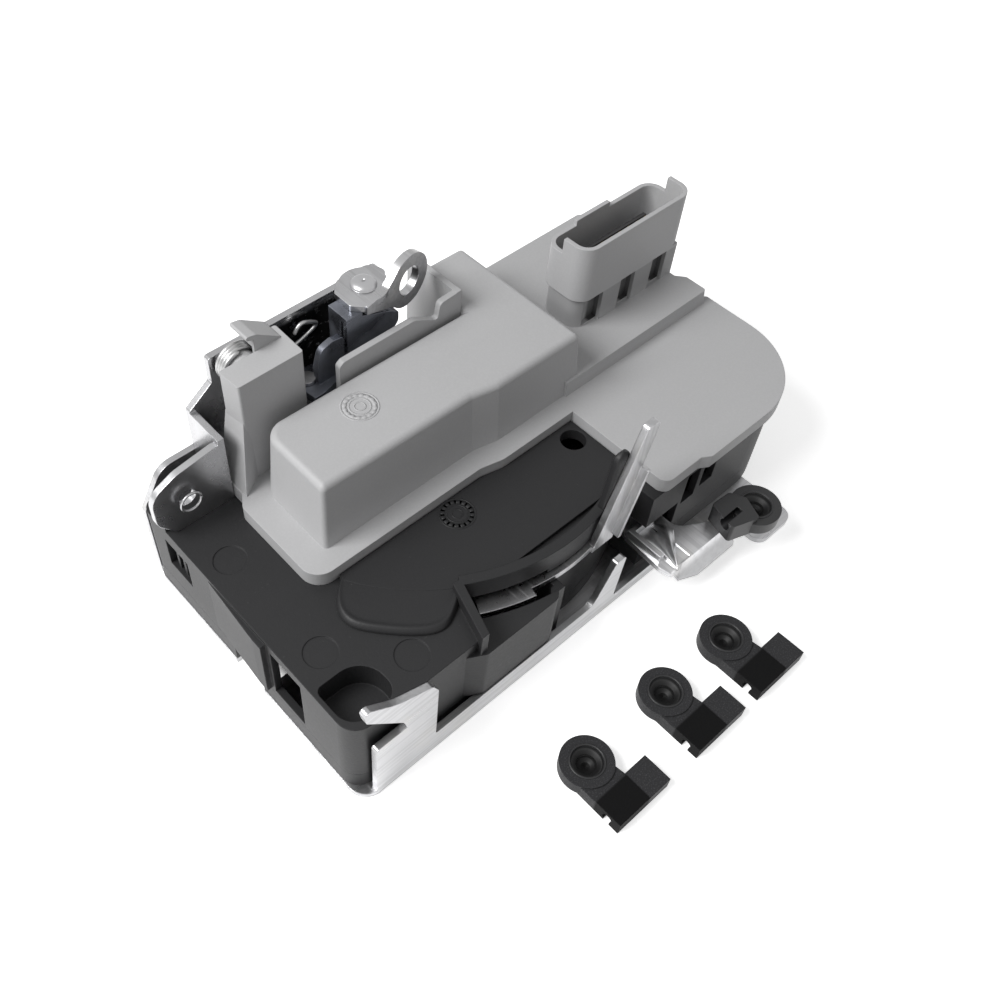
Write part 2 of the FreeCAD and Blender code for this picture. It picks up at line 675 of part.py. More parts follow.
def shroud_block(inset, z0, z1):
    """Rounded block of the shroud's plan, moved in by inset."""
    i = inset
    r = CONN_R - i
    return prism([(CONN_X0 + i, CONN_Y0 + i, r), (CONN_X1 - i, CONN_Y0 + i, r),
                  (CONN_X1 - i, CONN_Y1 - i, r), (CONN_X0 + i, CONN_Y1 - i, r)], z0, z1)


def connector():
    """Moulded shroud: rim block on an inset body, with piers between three sunk panels."""
    i = CONN_INSET
    low = shroud_block(i, FLANGE_Z, CONN_STEP + 1)
    high = shroud_block(0, CONN_STEP, CONN_TOP)
    piers = []
    panels = []
    for k in range(3):
        x = CONN_X0 + PANEL_START + k * PANEL_PITCH
        pier_end = min(x + PANEL_PITCH, CONN_X1 - i - 1)
        for y, side in ((CONN_Y0, 1), (CONN_Y1, -1)):
            deep = y + side * (i + PANEL_DEPTH)
            piers.append(box(x + PANEL_W, pier_end, min(y, deep), max(y, deep), FLANGE_Z,
                             CONN_STEP + 1))
            panels.append(box(x, x + PANEL_W, min(y - side, deep), max(y - side, deep),
                              PLATEAU_Z + 0.5, CONN_STEP))
    return fuse(low, high, *piers).cut(panels)


def connector_cavity():
    w = CONN_WALL
    cavity = shroud_block(w, CONN_FLOOR, CONN_TOP + 5)
    mid = (CONN_Y0 + CONN_Y1) / 2
    centre = (CONN_X0 + CONN_X1) / 2
    back_rim = box(CONN_X0 - 1, CONN_X1 + 1, mid + 1, CONN_Y1 + 1, CONN_TOP - EAR_DROP, CONN_TOP + 5)
    latch = box(centre - 11, centre + 3.5, CONN_Y1 - w - 0.5, CONN_Y1 + 2, CONN_TOP - EAR_DROP - 1,
                CONN_TOP - EAR_DROP + 1.8)
    dips = [back_rim.cut(latch)]
    pins = [post(x, mid, 30, CONN_FLOOR + 1, 0.9) for x in pin_places()]
    return [cavity] + dips + pins


def pin_places():
    mid = (CONN_X0 + CONN_X1) / 2
    start = mid - PIN_PITCH * (PIN_COUNT - 1) / 2
    return [start + PIN_PITCH * k for k in range(PIN_COUNT)]


def tower():
    """Spring tower: flared foot, stepped shaft, wedge with its roof tab and the spring's stub."""
    top = TOWER_TOP
    shaft = prism([(TOWER_LEFT, TOWER_FRONT, 0.8), (TOWER_RIGHT, TOWER_FRONT, 0.8),
                   (TOWER_RIGHT + 0.3, TOWER_BACK, 0.8), (TOWER_STEP_X, TOWER_BACK),
                   (TOWER_STEP_X, TOWER_STEP_Y), (TOWER_LEFT - 0.6, TOWER_STEP_Y, 0.8)],
                  FLANGE_Z - 1, top)
    foot = drafted([(15.2, 76), (TOWER_LEFT + 2, TOWER_FRONT), (TOWER_LEFT + 2, TOWER_STEP_Y),
                    (15.2, TOWER_STEP_Y)],
                   [(TOWER_LEFT, TOWER_FRONT + 0.3), (TOWER_LEFT + 2, TOWER_FRONT + 0.3),
                    (TOWER_LEFT + 2, TOWER_STEP_Y - 0.1), (TOWER_LEFT - 0.4, TOWER_STEP_Y - 0.1)],
                   FLANGE_Z - 1, 62)
    wedge = front_plate([(TOWER_STEP_X, top - 1), (TOWER_STEP_X, top + TAB_RISE - 1),
                         (TAB_RIGHT, top), (TAB_RIGHT, top - 1)], TOWER_STEP_Y, TOWER_BACK)
    roof = front_plate([(TAB_LEFT, top + TAB_RISE - 1.2), (TAB_LEFT, top + TAB_RISE, 0.4),
                        (TOWER_STEP_X + 1, top + TAB_RISE - 0.6, 2), (TAB_RIGHT, top + 0.2),
                        (TAB_RIGHT - 2.4, top + 0.2), (TOWER_STEP_X, top + TAB_RISE - 1.8)],
                       TOWER_STEP_Y, TAB_BACK)
    hollow = box(TOWER_LEFT + 2, TOWER_RIGHT - 2, TOWER_FRONT + 2, TOWER_STEP_Y - 2, DECK_Z, 58)
    room = rod_y(SPRING_X, SPRING_Y - GAP, TAB_BACK + 1, SPRING_Z, SPRING_ROOM)
    stub = rod_y(SPRING_X, TOWER_STEP_Y - 1, SPRING_Y + SPRING_TURNS * SPRING_WIRE,
                 SPRING_Z, STUB_R)
    return fuse(fuse(shaft, foot, wedge, roof).cut([room, hollow]), stub)


def pocket_wall():
    """Wall between box and pocket, with the dip that clears the release lever."""
    y = POCKET_WALL_Y
    rim = POCKET_RIM
    long_wall = front_plate([
        (50.5, FLANGE_Z - 1), (50.5, rim - 1.2, 1), (52, rim, 1), (77.5, rim, 4), (86.3, 61.6, 1),
        (87.2, rim + 0.6, 1.5), (POCKET_WALL_X + 2, rim + 1.2, 0.4), (POCKET_WALL_X + 2, FLANGE_Z - 1),
    ], y, y + SKIN)
    side_wall = box(POCKET_WALL_X, POCKET_WALL_X + SKIN, y, COVER_BACK - 0.5,
                    FLANGE_Z - 1, rim + 1.2)
    return fuse(long_wall, side_wall)


def actuator_cover():
    flange = prism(cover_plan(0), DECK_Z + SEAT, FLANGE_Z)
    plateau = drafted(plateau_plan(0), plateau_plan(0.5), FLANGE_Z - 0.5, PLATEAU_Z)
    cover = fuse(flange, plateau, box_form(), connector(), tower(), pocket_wall())
    slab_room = prism([
        (118.5, SLAB_FRONT + 3, 1), (SLAB_RIGHT - 3, SLAB_FRONT + 3, 22), (SLAB_RIGHT - 3, 45, 1),
        (170, 50, 1), (170, COVER_BACK - 3, 1), (118.5, COVER_BACK - 3, 1),
    ], DECK_Z, FLANGE_Z - SKIN)
    plateau_room = prism([
        (118.5, PLATEAU_FRONT + 2, 1), (171, PLATEAU_FRONT + 2, 1), (169, COVER_BACK - 3, 1),
        (118.5, COVER_BACK - 3, 1),
    ], FLANGE_Z - SKIN - 1, PLATEAU_Z - SKIN)
    return cover.cut([box_room(), slab_room, plateau_room] + connector_cavity())


def plateau_plan(inset):
    i = inset
    return [(110, PLATEAU_FRONT + i), (PLATEAU_RIGHT - i, PLATEAU_FRONT + i, 1),
            (PLATEAU_RIGHT - i, 54, 1), (172.3 - i, 57, 1), (172.3 - i, COVER_BACK - i, 2),
            (110, COVER_BACK - i)]


def terminal_header():
    """Insulating comb on the floor of the shroud that holds the terminals."""
    mid = (CONN_Y0 + CONN_Y1) / 2
    comb = box(CONN_X0 + 4, CONN_X1 - 4, mid - 2.6, mid + 2.6, CONN_FLOOR + SEAT, CONN_FLOOR + 5)
    rail = box(CONN_X0 + 8, CONN_X1 - 8, mid + 1.4, mid + 2.6, CONN_FLOOR + 4, CONN_FLOOR + 8)
    holes = [post(x, mid, 30, 80, 0.8) for x in pin_places()]
    return fuse(comb, rail).cut(holes)


def connector_pins():
    mid = (CONN_Y0 + CONN_Y1) / 2
    pins = []
    for x in pin_places():
        blade = box(x - 0.5, x + 0.5, mid - 0.5, mid + 0.5, DECK_Z + 2 * SEAT + TRACK_T,
                    CONN_TOP - 10)
        pins.append(blade)
    return Part.makeCompound(pins)


# Support bracket, release lever and the levers in the pocket

def support_bracket():
    """One strip folded from the long back run, round the corner, into the screw ear."""
    y0 = BRACKET_BACK - SHEET
    run = front_plate([
        (TURN_X, 40), (TURN_X, 60, 1), (20.8, 66, 1), (20.8, BRACKET_TOP, 1),
        (80, BRACKET_TOP, 3), (80, 50, 4), (68, 45, 5), (54, 40, 4),
    ], y0, BRACKET_BACK)
    side = box(TURN_X, TURN_X + SHEET, EAR_Y, BRACKET_BACK, 40, 59.5)
    ear = front_plate([
        (TURN_X + SHEET, DECK_Z + SEAT), (TURN_X + SHEET, 58.5, 3), (-1, 56, 8),
        (EAR_X - EAR_R, 52, 6), (EAR_X - EAR_R, 41, 6), (-4, DECK_Z + SEAT, 3),
    ], EAR_Y, EAR_Y + SHEET)
    left = RIVET_X - SHELF_HALF
    right = RIVET_X + SHELF_HALF
    front = RIVET_Y - SHELF_REACH
    shelf = prism([(left, y0 + 1), (left, front, 4), (right, front, 5), (right, y0 + 1)],
                  BRACKET_TOP - SHEET, BRACKET_TOP)
    strip = fuse(run, side, ear, shelf)
    holes = [rod_y(EAR_X, EAR_Y - 1, EAR_Y + SHEET + 1, EAR_Z, EAR_HOLE_R),
             post(RIVET_X, RIVET_Y, 70, 80, RIVET_R - 0.6),
             rod_y(44, y0 - 1, BRACKET_BACK + 1, 56, 4)]
    return strip.cut(holes)


def release_lever():
    """Outside release lever: riveted flange with an upright gusset that ends in the eyelet."""
    z0 = BRACKET_TOP + SEAT
    z1 = z0 + SHEET
    half = EYE_T / 2
    hub = post(RIVET_X, RIVET_Y, z0, z1, 7.2)
    flange = prism([(60.6, 92, 1), (60.6, 85.2, 1), (63.4, 82.4, 1), (71.8, 84.2, 1), (77.6, 90.5, 2),
                    (75.4, 95.6, 3), (64, 95.6, 3)], z0, z1)
    gusset = front_plate([
        (-6, z0 - 0.6), (-6, z1), (3, z1, 2), (EYE_ALONG - 6, EYE_Z + 5.8), (EYE_ALONG, EYE_Z),
        (EYE_ALONG - 1.5, EYE_Z - EYE_R + 0.15), (3.4, z0 - 4.9, 3),
    ], -half, half)
    eye = fuse(gusset, rod_y(EYE_ALONG, -half, half, EYE_Z, EYE_R))
    eye = eye.cut(rod_y(EYE_ALONG, -3, 3, EYE_Z, EYE_HOLE_R))
    eye.rotate(V(0, 0, 0), UP, EYE_TURN)
    eye.translate(V(RIVET_X + 0.4, RIVET_Y - 5.6, 0))
    bore = post(RIVET_X, RIVET_Y, z0 - 1, z1 + 1, RIVET_R + PIN_FIT)
    return fuse(hub, flange, eye).cut(bore)


def relay_plate():
    """Dark plate seated under the release lever: a front skirt and the leg that pushes the horn."""
    top = BRACKET_TOP
    left = RIVET_X - 11.4
    pad_right = RIVET_X - SHELF_HALF - GAP
    skirt = front_plate([
        (left, HORN_TOP + 0.5, 2), (left, top), (pad_right - 0.4, top), (pad_right - 0.4, top - 1.2),
        (RIVET_X + 3.8, top - 5.4), (RIVET_X + 7, top - 7.2, 1), (RIVET_X + 7, HORN_TOP + 2.6, 3),
        (RIVET_X - 1, HORN_TOP + 1, 3), (RIVET_X - 7, HORN_TOP + 0.5),
    ], RELAY_Y, RELAY_Y + RELAY_T)
    pad = box(left, pad_right, RELAY_Y, RIVET_Y + 1.4, top - SHEET, top)
    leg = box(left, left + 2, RIVET_Y - 4, RIVET_Y + 1.4, LIFT_Z + 3.5, top)
    return fuse(skirt, pad, leg)


def lever_rivet():
    """Stepped rivet: shank through the shelf, journal in the lever and a domed head."""
    z0 = BRACKET_TOP
    shank = post(RIVET_X, RIVET_Y, z0 - SHEET - 1.2, z0 + 2 * SEAT, RIVET_R - 0.6 - PIN_FIT)
    tail = post(RIVET_X, RIVET_Y, z0 - SHEET - 1.2, z0 - SHEET - SEAT, RIVET_R + 0.6)
    journal = post(RIVET_X, RIVET_Y, z0 + SEAT, z0 + SHEET + 3 * SEAT, RIVET_R)
    head = Part.makeCone(4.6, 3.2, 1.5, V(RIVET_X, RIVET_Y, z0 + SHEET + 3 * SEAT), UP)
    return fuse(shank, tail, journal, head)


def lift_lever():
    """Crank in the pocket: a horn for the release lever and a leg and foot to the pawl."""
    z0 = LIFT_Z
    z1 = LIFT_Z + 2.5
    plate = prism([(LIFT_X - 4.5, LIFT_Y + 4.5, 4), (LIFT_X + 4.5, LIFT_Y + 4.5, 4),
                   (LIFT_X + 13.2, LIFT_Y - 1.5, 0.8), (LIFT_X + 13.2, LIFT_Y - 3.7, 0.8),
                   (LIFT_X + 0.5, LIFT_Y - 7), (LIFT_X - 2.6, LIFT_Y - 7)], z0, z1)
    horn = box(LIFT_X + 11, LIFT_X + 13.2, LIFT_Y - 3.7, LIFT_Y - 1.7, z1 - 0.5, HORN_TOP)
    neck = front_plate([
        (LIFT_X + 1.4, z1 - 0.5), (LIFT_X + 1, z1 + 5.5, 2), (LIFT_X + 2.6, z1 + 12, 3),
        (LIFT_X + 6.8, z1 + 13.3, 2), (LIFT_X + 10.6, z1 + 12.8, 1), (LIFT_X + 10.6, z1 - 0.5),
    ], LIFT_Y - 3.7, LIFT_Y - 1.7)
    leg = box(LIFT_X - 2, LIFT_X + 0.5, LIFT_Y - 7, LIFT_Y - 5.2, 10, z0 + 1)
    tip = TAB_SIDE + FOOT_GAP
    foot = prism([(tip, 76, 0.6), (tip + 2.5, 75.6, 0.6), (46.5, 79.6), (46.5, 81.8), (44, 81.8),
                  (tip, 79.2, 0.6)], 10, 13)
    bore = post(LIFT_X, LIFT_Y, z0 - 1, z1 + 2, LIFT_PIN_R + PIN_FIT)
    return fuse(plate, horn, neck, leg, foot).cut(bore)


def lift_post():
    """Cranked post on the deck that carries the lift lever."""
    top = LIFT_Z - SEAT
    stem = box(LIFT_X - 3.4, LIFT_X + 4, LIFT_Y + 3.4, LIFT_Y + 6.2, DECK_Z + SEAT, top)
    arm = box(LIFT_X - 3.4, LIFT_X + 3.4, LIFT_Y - 1, LIFT_Y + 4, top - 3, top)
    end = post(LIFT_X, LIFT_Y - 1, top - 3, top, 3.4)
    pin = post(LIFT_X, LIFT_Y, top - 1, LIFT_Z + 3.6, LIFT_PIN_R)
    return fuse(stem, arm, end, pin)


def return_spring():
    """Torsion spring of the release lever, wound on the level stub behind the tower."""
    spring = coil(SPRING_TURNS, SPRING_R, SPRING_WIRE)
    spring.rotate(V(0, 0, 0), V(1, 0, 0), -90)
    spring.translate(V(SPRING_X, SPRING_Y, SPRING_Z))
    return spring


def lever_spring(x, y, r):
    """Flat coil between a lever and the boss above it."""
    spring = coil(2, r, 1.4)
    spring.translate(V(x, y, CLAW_Z + CLAW_T + 0.5))
    return spring


# Inside release lever and rod clips

def inside_lever():
    """Stamped lever: hub in the case, ribbed root, arm folded down along its front, clip eye."""
    z0 = INNER_Z
    z1 = INNER_Z + SHEET
    root = prism([
        (INNER_X - 5, INNER_Y + 4.6, 4.5), (INNER_X + 5, INNER_Y + 4.6, 4.5), (114.5, 0.5, 5),
        (EYE2_X - 6, EYE2_Y + 3.8), (EYE2_X - 6, ARM_CREASE), (106, ARM_CREASE), (102, ARM_FRONT, 3),
        (99.6, -6, 2), (100.5, 8, 2),
    ], z0, z1)
    fold = side_plate([(ARM_CREASE + 0.4, z0), (ARM_CREASE + 0.4, z1), (ARM_CREASE, z1),
                       (ARM_FRONT, z1 - 3.4), (ARM_FRONT - 0.4, z1 - 5), (ARM_CREASE, z0)],
                      102, EYE2_X - 7)
    eye = post(EYE2_X, EYE2_Y, z0, z1, CLIP_HOLE_R + 3)
    neck = prism([(EYE2_X - 9, EYE2_Y + 3.4), (EYE2_X, EYE2_Y + 3.4), (EYE2_X, EYE2_Y - 3.8),
                  (EYE2_X - 5, EYE2_Y - 3.8), (EYE2_X - 9, ARM_CREASE)], z0, z1)
    wall = box(100.5, 102.1, -5, 7.5, z1 - 0.2, z1 + 3.2)
    top_wall = box(100.5, 111, 6, 7.6, z1 - 0.2, z1 + 3.2)
    rib = rod_y(107.4, -9, 5, z1 - 0.6, 2.6)
    rib = rib.common(box(90, 120, -20, 10, z1 - 0.5, z1 + 5))
    bores = [post(INNER_X, INNER_Y, z0 - 1, z1 + 1, INNER_PIN_R + PIN_FIT),
             post(EYE2_X, EYE2_Y, z0 - 1, z1 + 1, CLIP_HOLE_R - 0.9 + PIN_FIT)]
    return fuse(root, fold, eye, neck, wall, top_wall, rib).cut(bores)


def inside_pin():
    """Post on the plate with a shoulder under the inside lever."""
    return fuse(post(INNER_X, INNER_Y, SHEET + SEAT, INNER_Z - SEAT, 3.8),
                post(INNER_X, INNER_Y, SHEET + SEAT, INNER_Z + SHEET + 5 - SEAT, INNER_PIN_R))


def clip_ring(x, y, z):
    """Ring of a clip with a blind cone in its top."""
    ring = post(x, y, z, z + CLIP_T, CLIP_RING_R)
    foot = Part.makeCone(CLIP_RING_R - 0.8, CLIP_RING_R, 0.8, V(x, y, z), UP)
    ring = ring.common(fuse(foot, post(x, y, z + 0.8, z + CLIP_T, CLIP_RING_R)))
    return ring.cut(Part.makeCone(CLIP_HOLE_R - 0.8, CLIP_HOLE_R + 1.5, CLIP_T - 1.1,
                                  V(x, y, z + 1.12), UP))


def fitted_clip():
    """Clip on the inside lever: ring, saddle block with its rod groove, and a barbed snap."""
    x = EYE2_X
    y = EYE2_Y
    z = INNER_Z + SHEET + SEAT
    high = z + CLIP_T + 2
    block = prism([(x - 13.6, y - 1.4, 1), (x - 4.6, y - 4.4, 1), (x - 1.6, y + 3, 1),
                   (x - 4, y + 7.6, 1), (x - 11.4, y + 8, 1)], z, high)
    groove = rod_x(x - 16, x - 5, y + 1.6, high - 2, 1.8)
    mouth = box(x - 16, x - 6.4, y + 0.6, y + 2.6, high - 2, high + 1)
    snap = post(x, y, z - SHEET - 1.6, z + 1.2, CLIP_HOLE_R - 0.9)
    barb = post(x, y, z - SHEET - 1.6, z - SHEET - 2 * SEAT, CLIP_HOLE_R - 0.4)
    return fuse(clip_ring(x, y, z), block.cut([groove, mouth]), snap, barb)


def spare_clip(x):
    """Loose clip lying flat: ring, neck and a block with its rod channel underneath."""
    y = SPARE_Y
    block = box(x - 6.5, x + 13.3, y - 17.8, y - 8.8, 0, CLIP_T)
    neck = prism([(x - 6.5, y), (x + 4.6, y - 3), (x + 5.5, y - 9.8), (x - 6.5, y - 9.8)],
                 0, CLIP_T - 0.5)
    neck = neck.cut(post(x, y, -1, CLIP_T + 1, CLIP_RING_R - 1))
    channel = rod_x(x - 8, x + 9.5, y - 13.6, 2.2, 1.5)
    mouth = box(x - 8, x + 9.5, y - 14.6, y - 12.6, -1, 2.2)
    step = box(x + 5, x + 14, y - 18, y - 8.6, CLIP_T - 0.4, CLIP_T + 1)
    return fuse(clip_ring(x, y, 0), block.cut([channel, mouth, step]), neck)


# Motor and gears

def motor_can():
    can = rod_x(MOTOR_X, MOTOR_X + MOTOR_L, MOTOR_Y, MOTOR_Z, MOTOR_R)
    flats = box(MOTOR_X - 1, MOTOR_X + MOTOR_L + 1, MOTOR_Y - 12, MOTOR_Y + 12,
                MOTOR_Z - MOTOR_FLAT, MOTOR_Z + MOTOR_FLAT)
    can = can.common(flats)
    nose = rod_x(MOTOR_X + MOTOR_L - 0.1, MOTOR_X + MOTOR_L + 1.6, MOTOR_Y, MOTOR_Z, 3)
    room = rod_x(MOTOR_X - 1, MOTOR_X + MOTOR_L + 3, MOTOR_Y, MOTOR_Z, SHAFT_R + PIN_FIT)
    inside = rod_x(MOTOR_X - 1, MOTOR_X + MOTOR_L - 1.5, MOTOR_Y, MOTOR_Z, 7)
    return fuse(can, nose).cut([room, inside])


def motor_cap():
    cap = rod_x(MOTOR_X - 2.4, MOTOR_X - SEAT, MOTOR_Y, MOTOR_Z, 7)
    tabs = [box(MOTOR_X - 4.4, MOTOR_X - 2, MOTOR_Y + s - 0.4, MOTOR_Y + s + 0.4, MOTOR_Z - 1.5, MOTOR_Z + 1.5)
            for s in (-4.5, 4.5)]
    bore = rod_x(MOTOR_X - 6, MOTOR_X + 1, MOTOR_Y, MOTOR_Z, SHAFT_R + PIN_FIT)
    return fuse(cap, *tabs).cut(bore)


def worm_thread():
    """Worm turned from a profile of ridges at its pitch."""
    root = WORM_R - 1.4
    points = [V(WORM_X, 0, 0), V(WORM_X, 0, root)]
    for k in range(int(WORM_L / WORM_PITCH)):
        x = WORM_X + WORM_PITCH * k
        for along, height in ((0.18, root), (0.42, WORM_R), (0.58, WORM_R), (0.82, root)):
            points.append(V(x + WORM_PITCH * along, 0, height))
    points.append(V(WORM_X + WORM_L, 0, root))
    points.append(V(WORM_X + WORM_L, 0, 0))
    face = Part.Face(Part.makePolygon(points + points[:1]))
    worm = face.revolve(V(0, 0, 0), V(1, 0, 0), 360)
    worm.translate(V(0, MOTOR_Y, MOTOR_Z))
    return worm


def armature():
    """Rotor stack, shaft and worm as one turning piece."""
    shaft = rod_x(MOTOR_X - 2, WORM_X + WORM_L + 1.5, MOTOR_Y, MOTOR_Z, SHAFT_R)
    stack = rod_x(MOTOR_X + 4, MOTOR_X + MOTOR_L - 5, MOTOR_Y, MOTOR_Z, 6)
    slots = []
    for k in range(3):
        angle = math.radians(120 * k + 90)
        y = MOTOR_Y + 5.6 * math.cos(angle)
        z = MOTOR_Z + 5.6 * math.sin(angle)
        slots.append(rod_x(MOTOR_X + 3, MOTOR_X + MOTOR_L - 4, y, z, 1.5))
    return fuse(shaft, stack.cut(slots), worm_thread())


def worm_wheel():
    """Toothed wheel beside the worm, with the pinion for the lock lever under the deck."""
    z0 = MOTOR_Z - WHEEL_T / 2
    radius = WHEEL_Y - MOTOR_Y - WORM_R - 0.15
    points = []
    for k in range(WHEEL_TEETH):
        base = 360.0 * k / WHEEL_TEETH
        for offset, inset in ((-4.6, 1.4), (-2.2, 0), (2.2, 0), (4.6, 1.4)):
            points.append(polar(0, 0, radius - inset, base + offset))
    wheel = prism(points, z0, z0 + WHEEL_T)
    distance, angle = mesh_line()
    pitch_r = distance / (MESH_RATIO + 1)
    low = SECTOR_Z - 1
    high = SECTOR_Z + SHEET + 1
    core = post(0, 0, low, high, pitch_r - TOOTH_DOWN)
    teeth = []
    step = 360.0 / PINION_TEETH
    for k in range(PINION_TEETH):
        tooth = gear_tooth(pitch_r, step, low, high)
        tooth.rotate(V(0, 0, 0), UP, angle + 180 + k * step)
        teeth.append(tooth)
    hub = post(0, 0, low, z0 + WHEEL_T + 2, 3.4)
    bore = post(0, 0, 0, 80, AXLE_R + PIN_FIT)
    whole = fuse(wheel, core, *teeth, hub).cut(bore)
    whole.translate(V(WHEEL_X, WHEEL_Y, 0))
    return whole


def wheel_axle():
    """Axle standing on the plate, with a collar under the pinion."""
    return fuse(post(WHEEL_X, WHEEL_Y, SHEET + SEAT, BOX_TOP_R - SKIN - 3, AXLE_R),
                post(WHEEL_X, WHEEL_Y, SHEET + SEAT, SECTOR_Z - 1 - SEAT, 3))


# Electrical pieces

def micro_switch(x, y):
    """Switch body on the floor of the case, open at the front for its button."""
    z = CASE_FLOOR + SEAT
    body = box(x, x + SWITCH_L, y, y + 5.8, z, z + 6.5)
    room = box(x + 2.6, x + 2.6 + BUTTON, y - 1, y + 3.4, z + 2.2, z + 2.2 + BUTTON)
    marks = [rod_y(x + k, y - 1, y + 7, z + 3.2, 0.9) for k in (1.4, SWITCH_L - 2)]
    return body.cut([room] + marks)


def switch_button(x, y):
    """Button of the switch, drawn fully out."""
    z = CASE_FLOOR + SEAT + 2.2
    c = 0.1
    return box(x + 2.6 + c, x + 2.6 + BUTTON - c, y - 1.1, y + 2.2, z + c, z + BUTTON - c)


def lead_frame():
    """Pressed brass tracks on the deck under the connector."""
    z0 = DECK_Z + SEAT
    tracks = []
    for k in range(4):
        y = 60 + 3.6 * k
        tracks.append(box(119.5, 170, y, y + 2.6, z0, z0 + TRACK_T))
    return Part.makeCompound(tracks)


def save(name, shape):
    shape.translate(V(-FIX_HOLES[0][0], -FIX_HOLES[0][1], 0))
    shape.exportStep("parts/" + name + ".step")
    print(name, len(shape.Solids), round(shape.Volume, 1), shape.isValid())


def main():
    os.makedirs("parts", exist_ok=True)
    save("latch_plate", latch_plate())
    save("claw_pin", shouldered_pin(CLAW_X, CLAW_Y, PIN_R, PIN_TOP))
    save("pawl_pin", shouldered_pin(PAWL_X, PAWL_Y, PAWL_PIN_R, PIN_TOP))
    save("claw", claw())
    save("pawl", pawl())
    save("claw_bumper", claw_bumper())
    save("claw_spring", lever_spring(CLAW_X, CLAW_Y, PIN_R + 0.9))
    save("pawl_spring", lever_spring(PAWL_X, PAWL_Y, PAWL_PIN_R + 0.9))
    save("lower_case", lower_case())
    save("upper_case", upper_case())
    save("lock_lever", lock_lever())
    save("lock_lever_pin", lock_pin())
    save("actuator_cover", actuator_cover())
    save("terminal_header", terminal_header())
    save("connector_pins", connector_pins())
    save("support_bracket", support_bracket())
    save("release_lever", release_lever())
    save("relay_plate", relay_plate())
    save("lever_rivet", lever_rivet())
    save("lift_lever", lift_lever())
    save("lift_lever_post", lift_post())
    save("return_spring", return_spring())
    save("inside_lever", inside_lever())
    save("inside_lever_pin", inside_pin())
    save("rod_clip", fitted_clip())
    for number, x in enumerate(SPARE_X):
        save("spare_clip_%d" % (number + 1), spare_clip(x))
    save("motor_can", motor_can())
    save("motor_cap", motor_cap())
    save("motor_armature", armature())
    save("worm_wheel", worm_wheel())
    save("wheel_axle", wheel_axle())
    save("lead_frame", lead_frame())
    save("ajar_switch", micro_switch(SWITCH_X[0], SWITCH_Y))
    save("ajar_switch_button", switch_button(SWITCH_X[0], SWITCH_Y))
    save("lock_switch", micro_switch(SWITCH_X[1], SWITCH_Y))
    save("lock_switch_button", switch_button(SWITCH_X[1], SWITCH_Y))


main()
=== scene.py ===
import json
import math

import bmesh
import bpy
import numpy as np
from bpy.props import FloatProperty, FloatVectorProperty, IntProperty, PointerProperty
from mathutils import Euler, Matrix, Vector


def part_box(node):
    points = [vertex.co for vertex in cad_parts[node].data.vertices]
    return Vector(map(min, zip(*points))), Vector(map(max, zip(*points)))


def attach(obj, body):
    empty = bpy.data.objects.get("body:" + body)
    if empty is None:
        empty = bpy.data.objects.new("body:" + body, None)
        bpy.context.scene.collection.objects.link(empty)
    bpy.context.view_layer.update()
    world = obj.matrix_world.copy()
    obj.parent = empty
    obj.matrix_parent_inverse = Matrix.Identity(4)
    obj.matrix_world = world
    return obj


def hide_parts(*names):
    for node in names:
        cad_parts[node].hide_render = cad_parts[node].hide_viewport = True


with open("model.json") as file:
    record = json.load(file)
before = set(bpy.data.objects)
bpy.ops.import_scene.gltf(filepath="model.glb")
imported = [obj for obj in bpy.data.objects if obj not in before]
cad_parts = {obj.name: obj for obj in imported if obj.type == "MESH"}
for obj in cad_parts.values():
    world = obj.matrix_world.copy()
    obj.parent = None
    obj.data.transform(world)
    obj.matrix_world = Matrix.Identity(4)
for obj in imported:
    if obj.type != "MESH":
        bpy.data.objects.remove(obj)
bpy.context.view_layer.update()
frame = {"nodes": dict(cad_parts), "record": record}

bl_info = {
    "name": "Door latch actuator",
    "version": (1, 0, 0),
    "blender": (4, 5, 0),
    "location": "3D View > Sidebar > Latch",
    "description": "Finishes, springs, moulding marks and studio for a door latch with its actuator",
    "category": "Object",
}

MM = 0.001

# Places and lengths down to the settings are in millimetres, and places are in the frame. Four
# levels say where a shade starts, is full, fades and ends, and two say where it changes.

# Ring centres of the three loose clips along X, their eyes along Y and Z, and the fitted clip's eye
SPARE_PLACES = (34.8, 66.6, 93.2)
SPARE_EYE = (-47.0, 5.0)
ROD_CLIP_EYE = (125.6, -27.6, 21.05)

# Where the part of a loose clip's block that is darkened as painted shade ends, along X from the
# ring's centre and along Y
CLIP_SHADE_END = (4.8, 5.6)
CLIP_SHADE_BACK = (-56.6, -55.8)

# Radius of the bead that a clip's lip is rolled to
LIP_BEAD = 0.35

# Lining of a clip's eye: distance from its edge as a share of its radius, and height
EYE_STEPS = ((0.0, -0.25), (-0.10, -0.9), (-0.28, -1.2), (-0.36, -2.4), (-0.62, -2.9),
             (-0.70, -3.62), (-0.99, -3.66), (-0.99, -3.72), (-0.66, -3.70), (-0.02, -0.7))

# Blank moulding dials: name, centre, slope along X, finish and slot
DIALS = (
    ("cover_dial", (37.9, 50.0, 61.62), -0.0208, "cover_grey_plastic", "cover_grey"),
    ("deck_dial", (47.5, 20.1, 35.8), 0.0, "case_black_plastic", "case_black"),
)

# Rings of a dial: name, share of its radius, half widths at the foot and at the crest, points
# round the ring and ticks
DIAL_RINGS = (
    ("outer", 1.0, (0.25, 0.18), 72, 0),
    ("ticks", 0.8, (0.7, 0.6), 288, 16),
    ("middle", 0.58, (0.25, 0.18), 72, 0),
    ("inner", 0.3, (0.25, 0.18), 72, 0),
)

# Deck of the case, the underside of the pad's lobe, and the lobe's rounded edge and bead
DECK_LEVEL = 34.25
LOBE_UNDERSIDE = 34.15
LOBE_ROUND = 1.5
LOBE_BEAD_WIDTH = 0.8

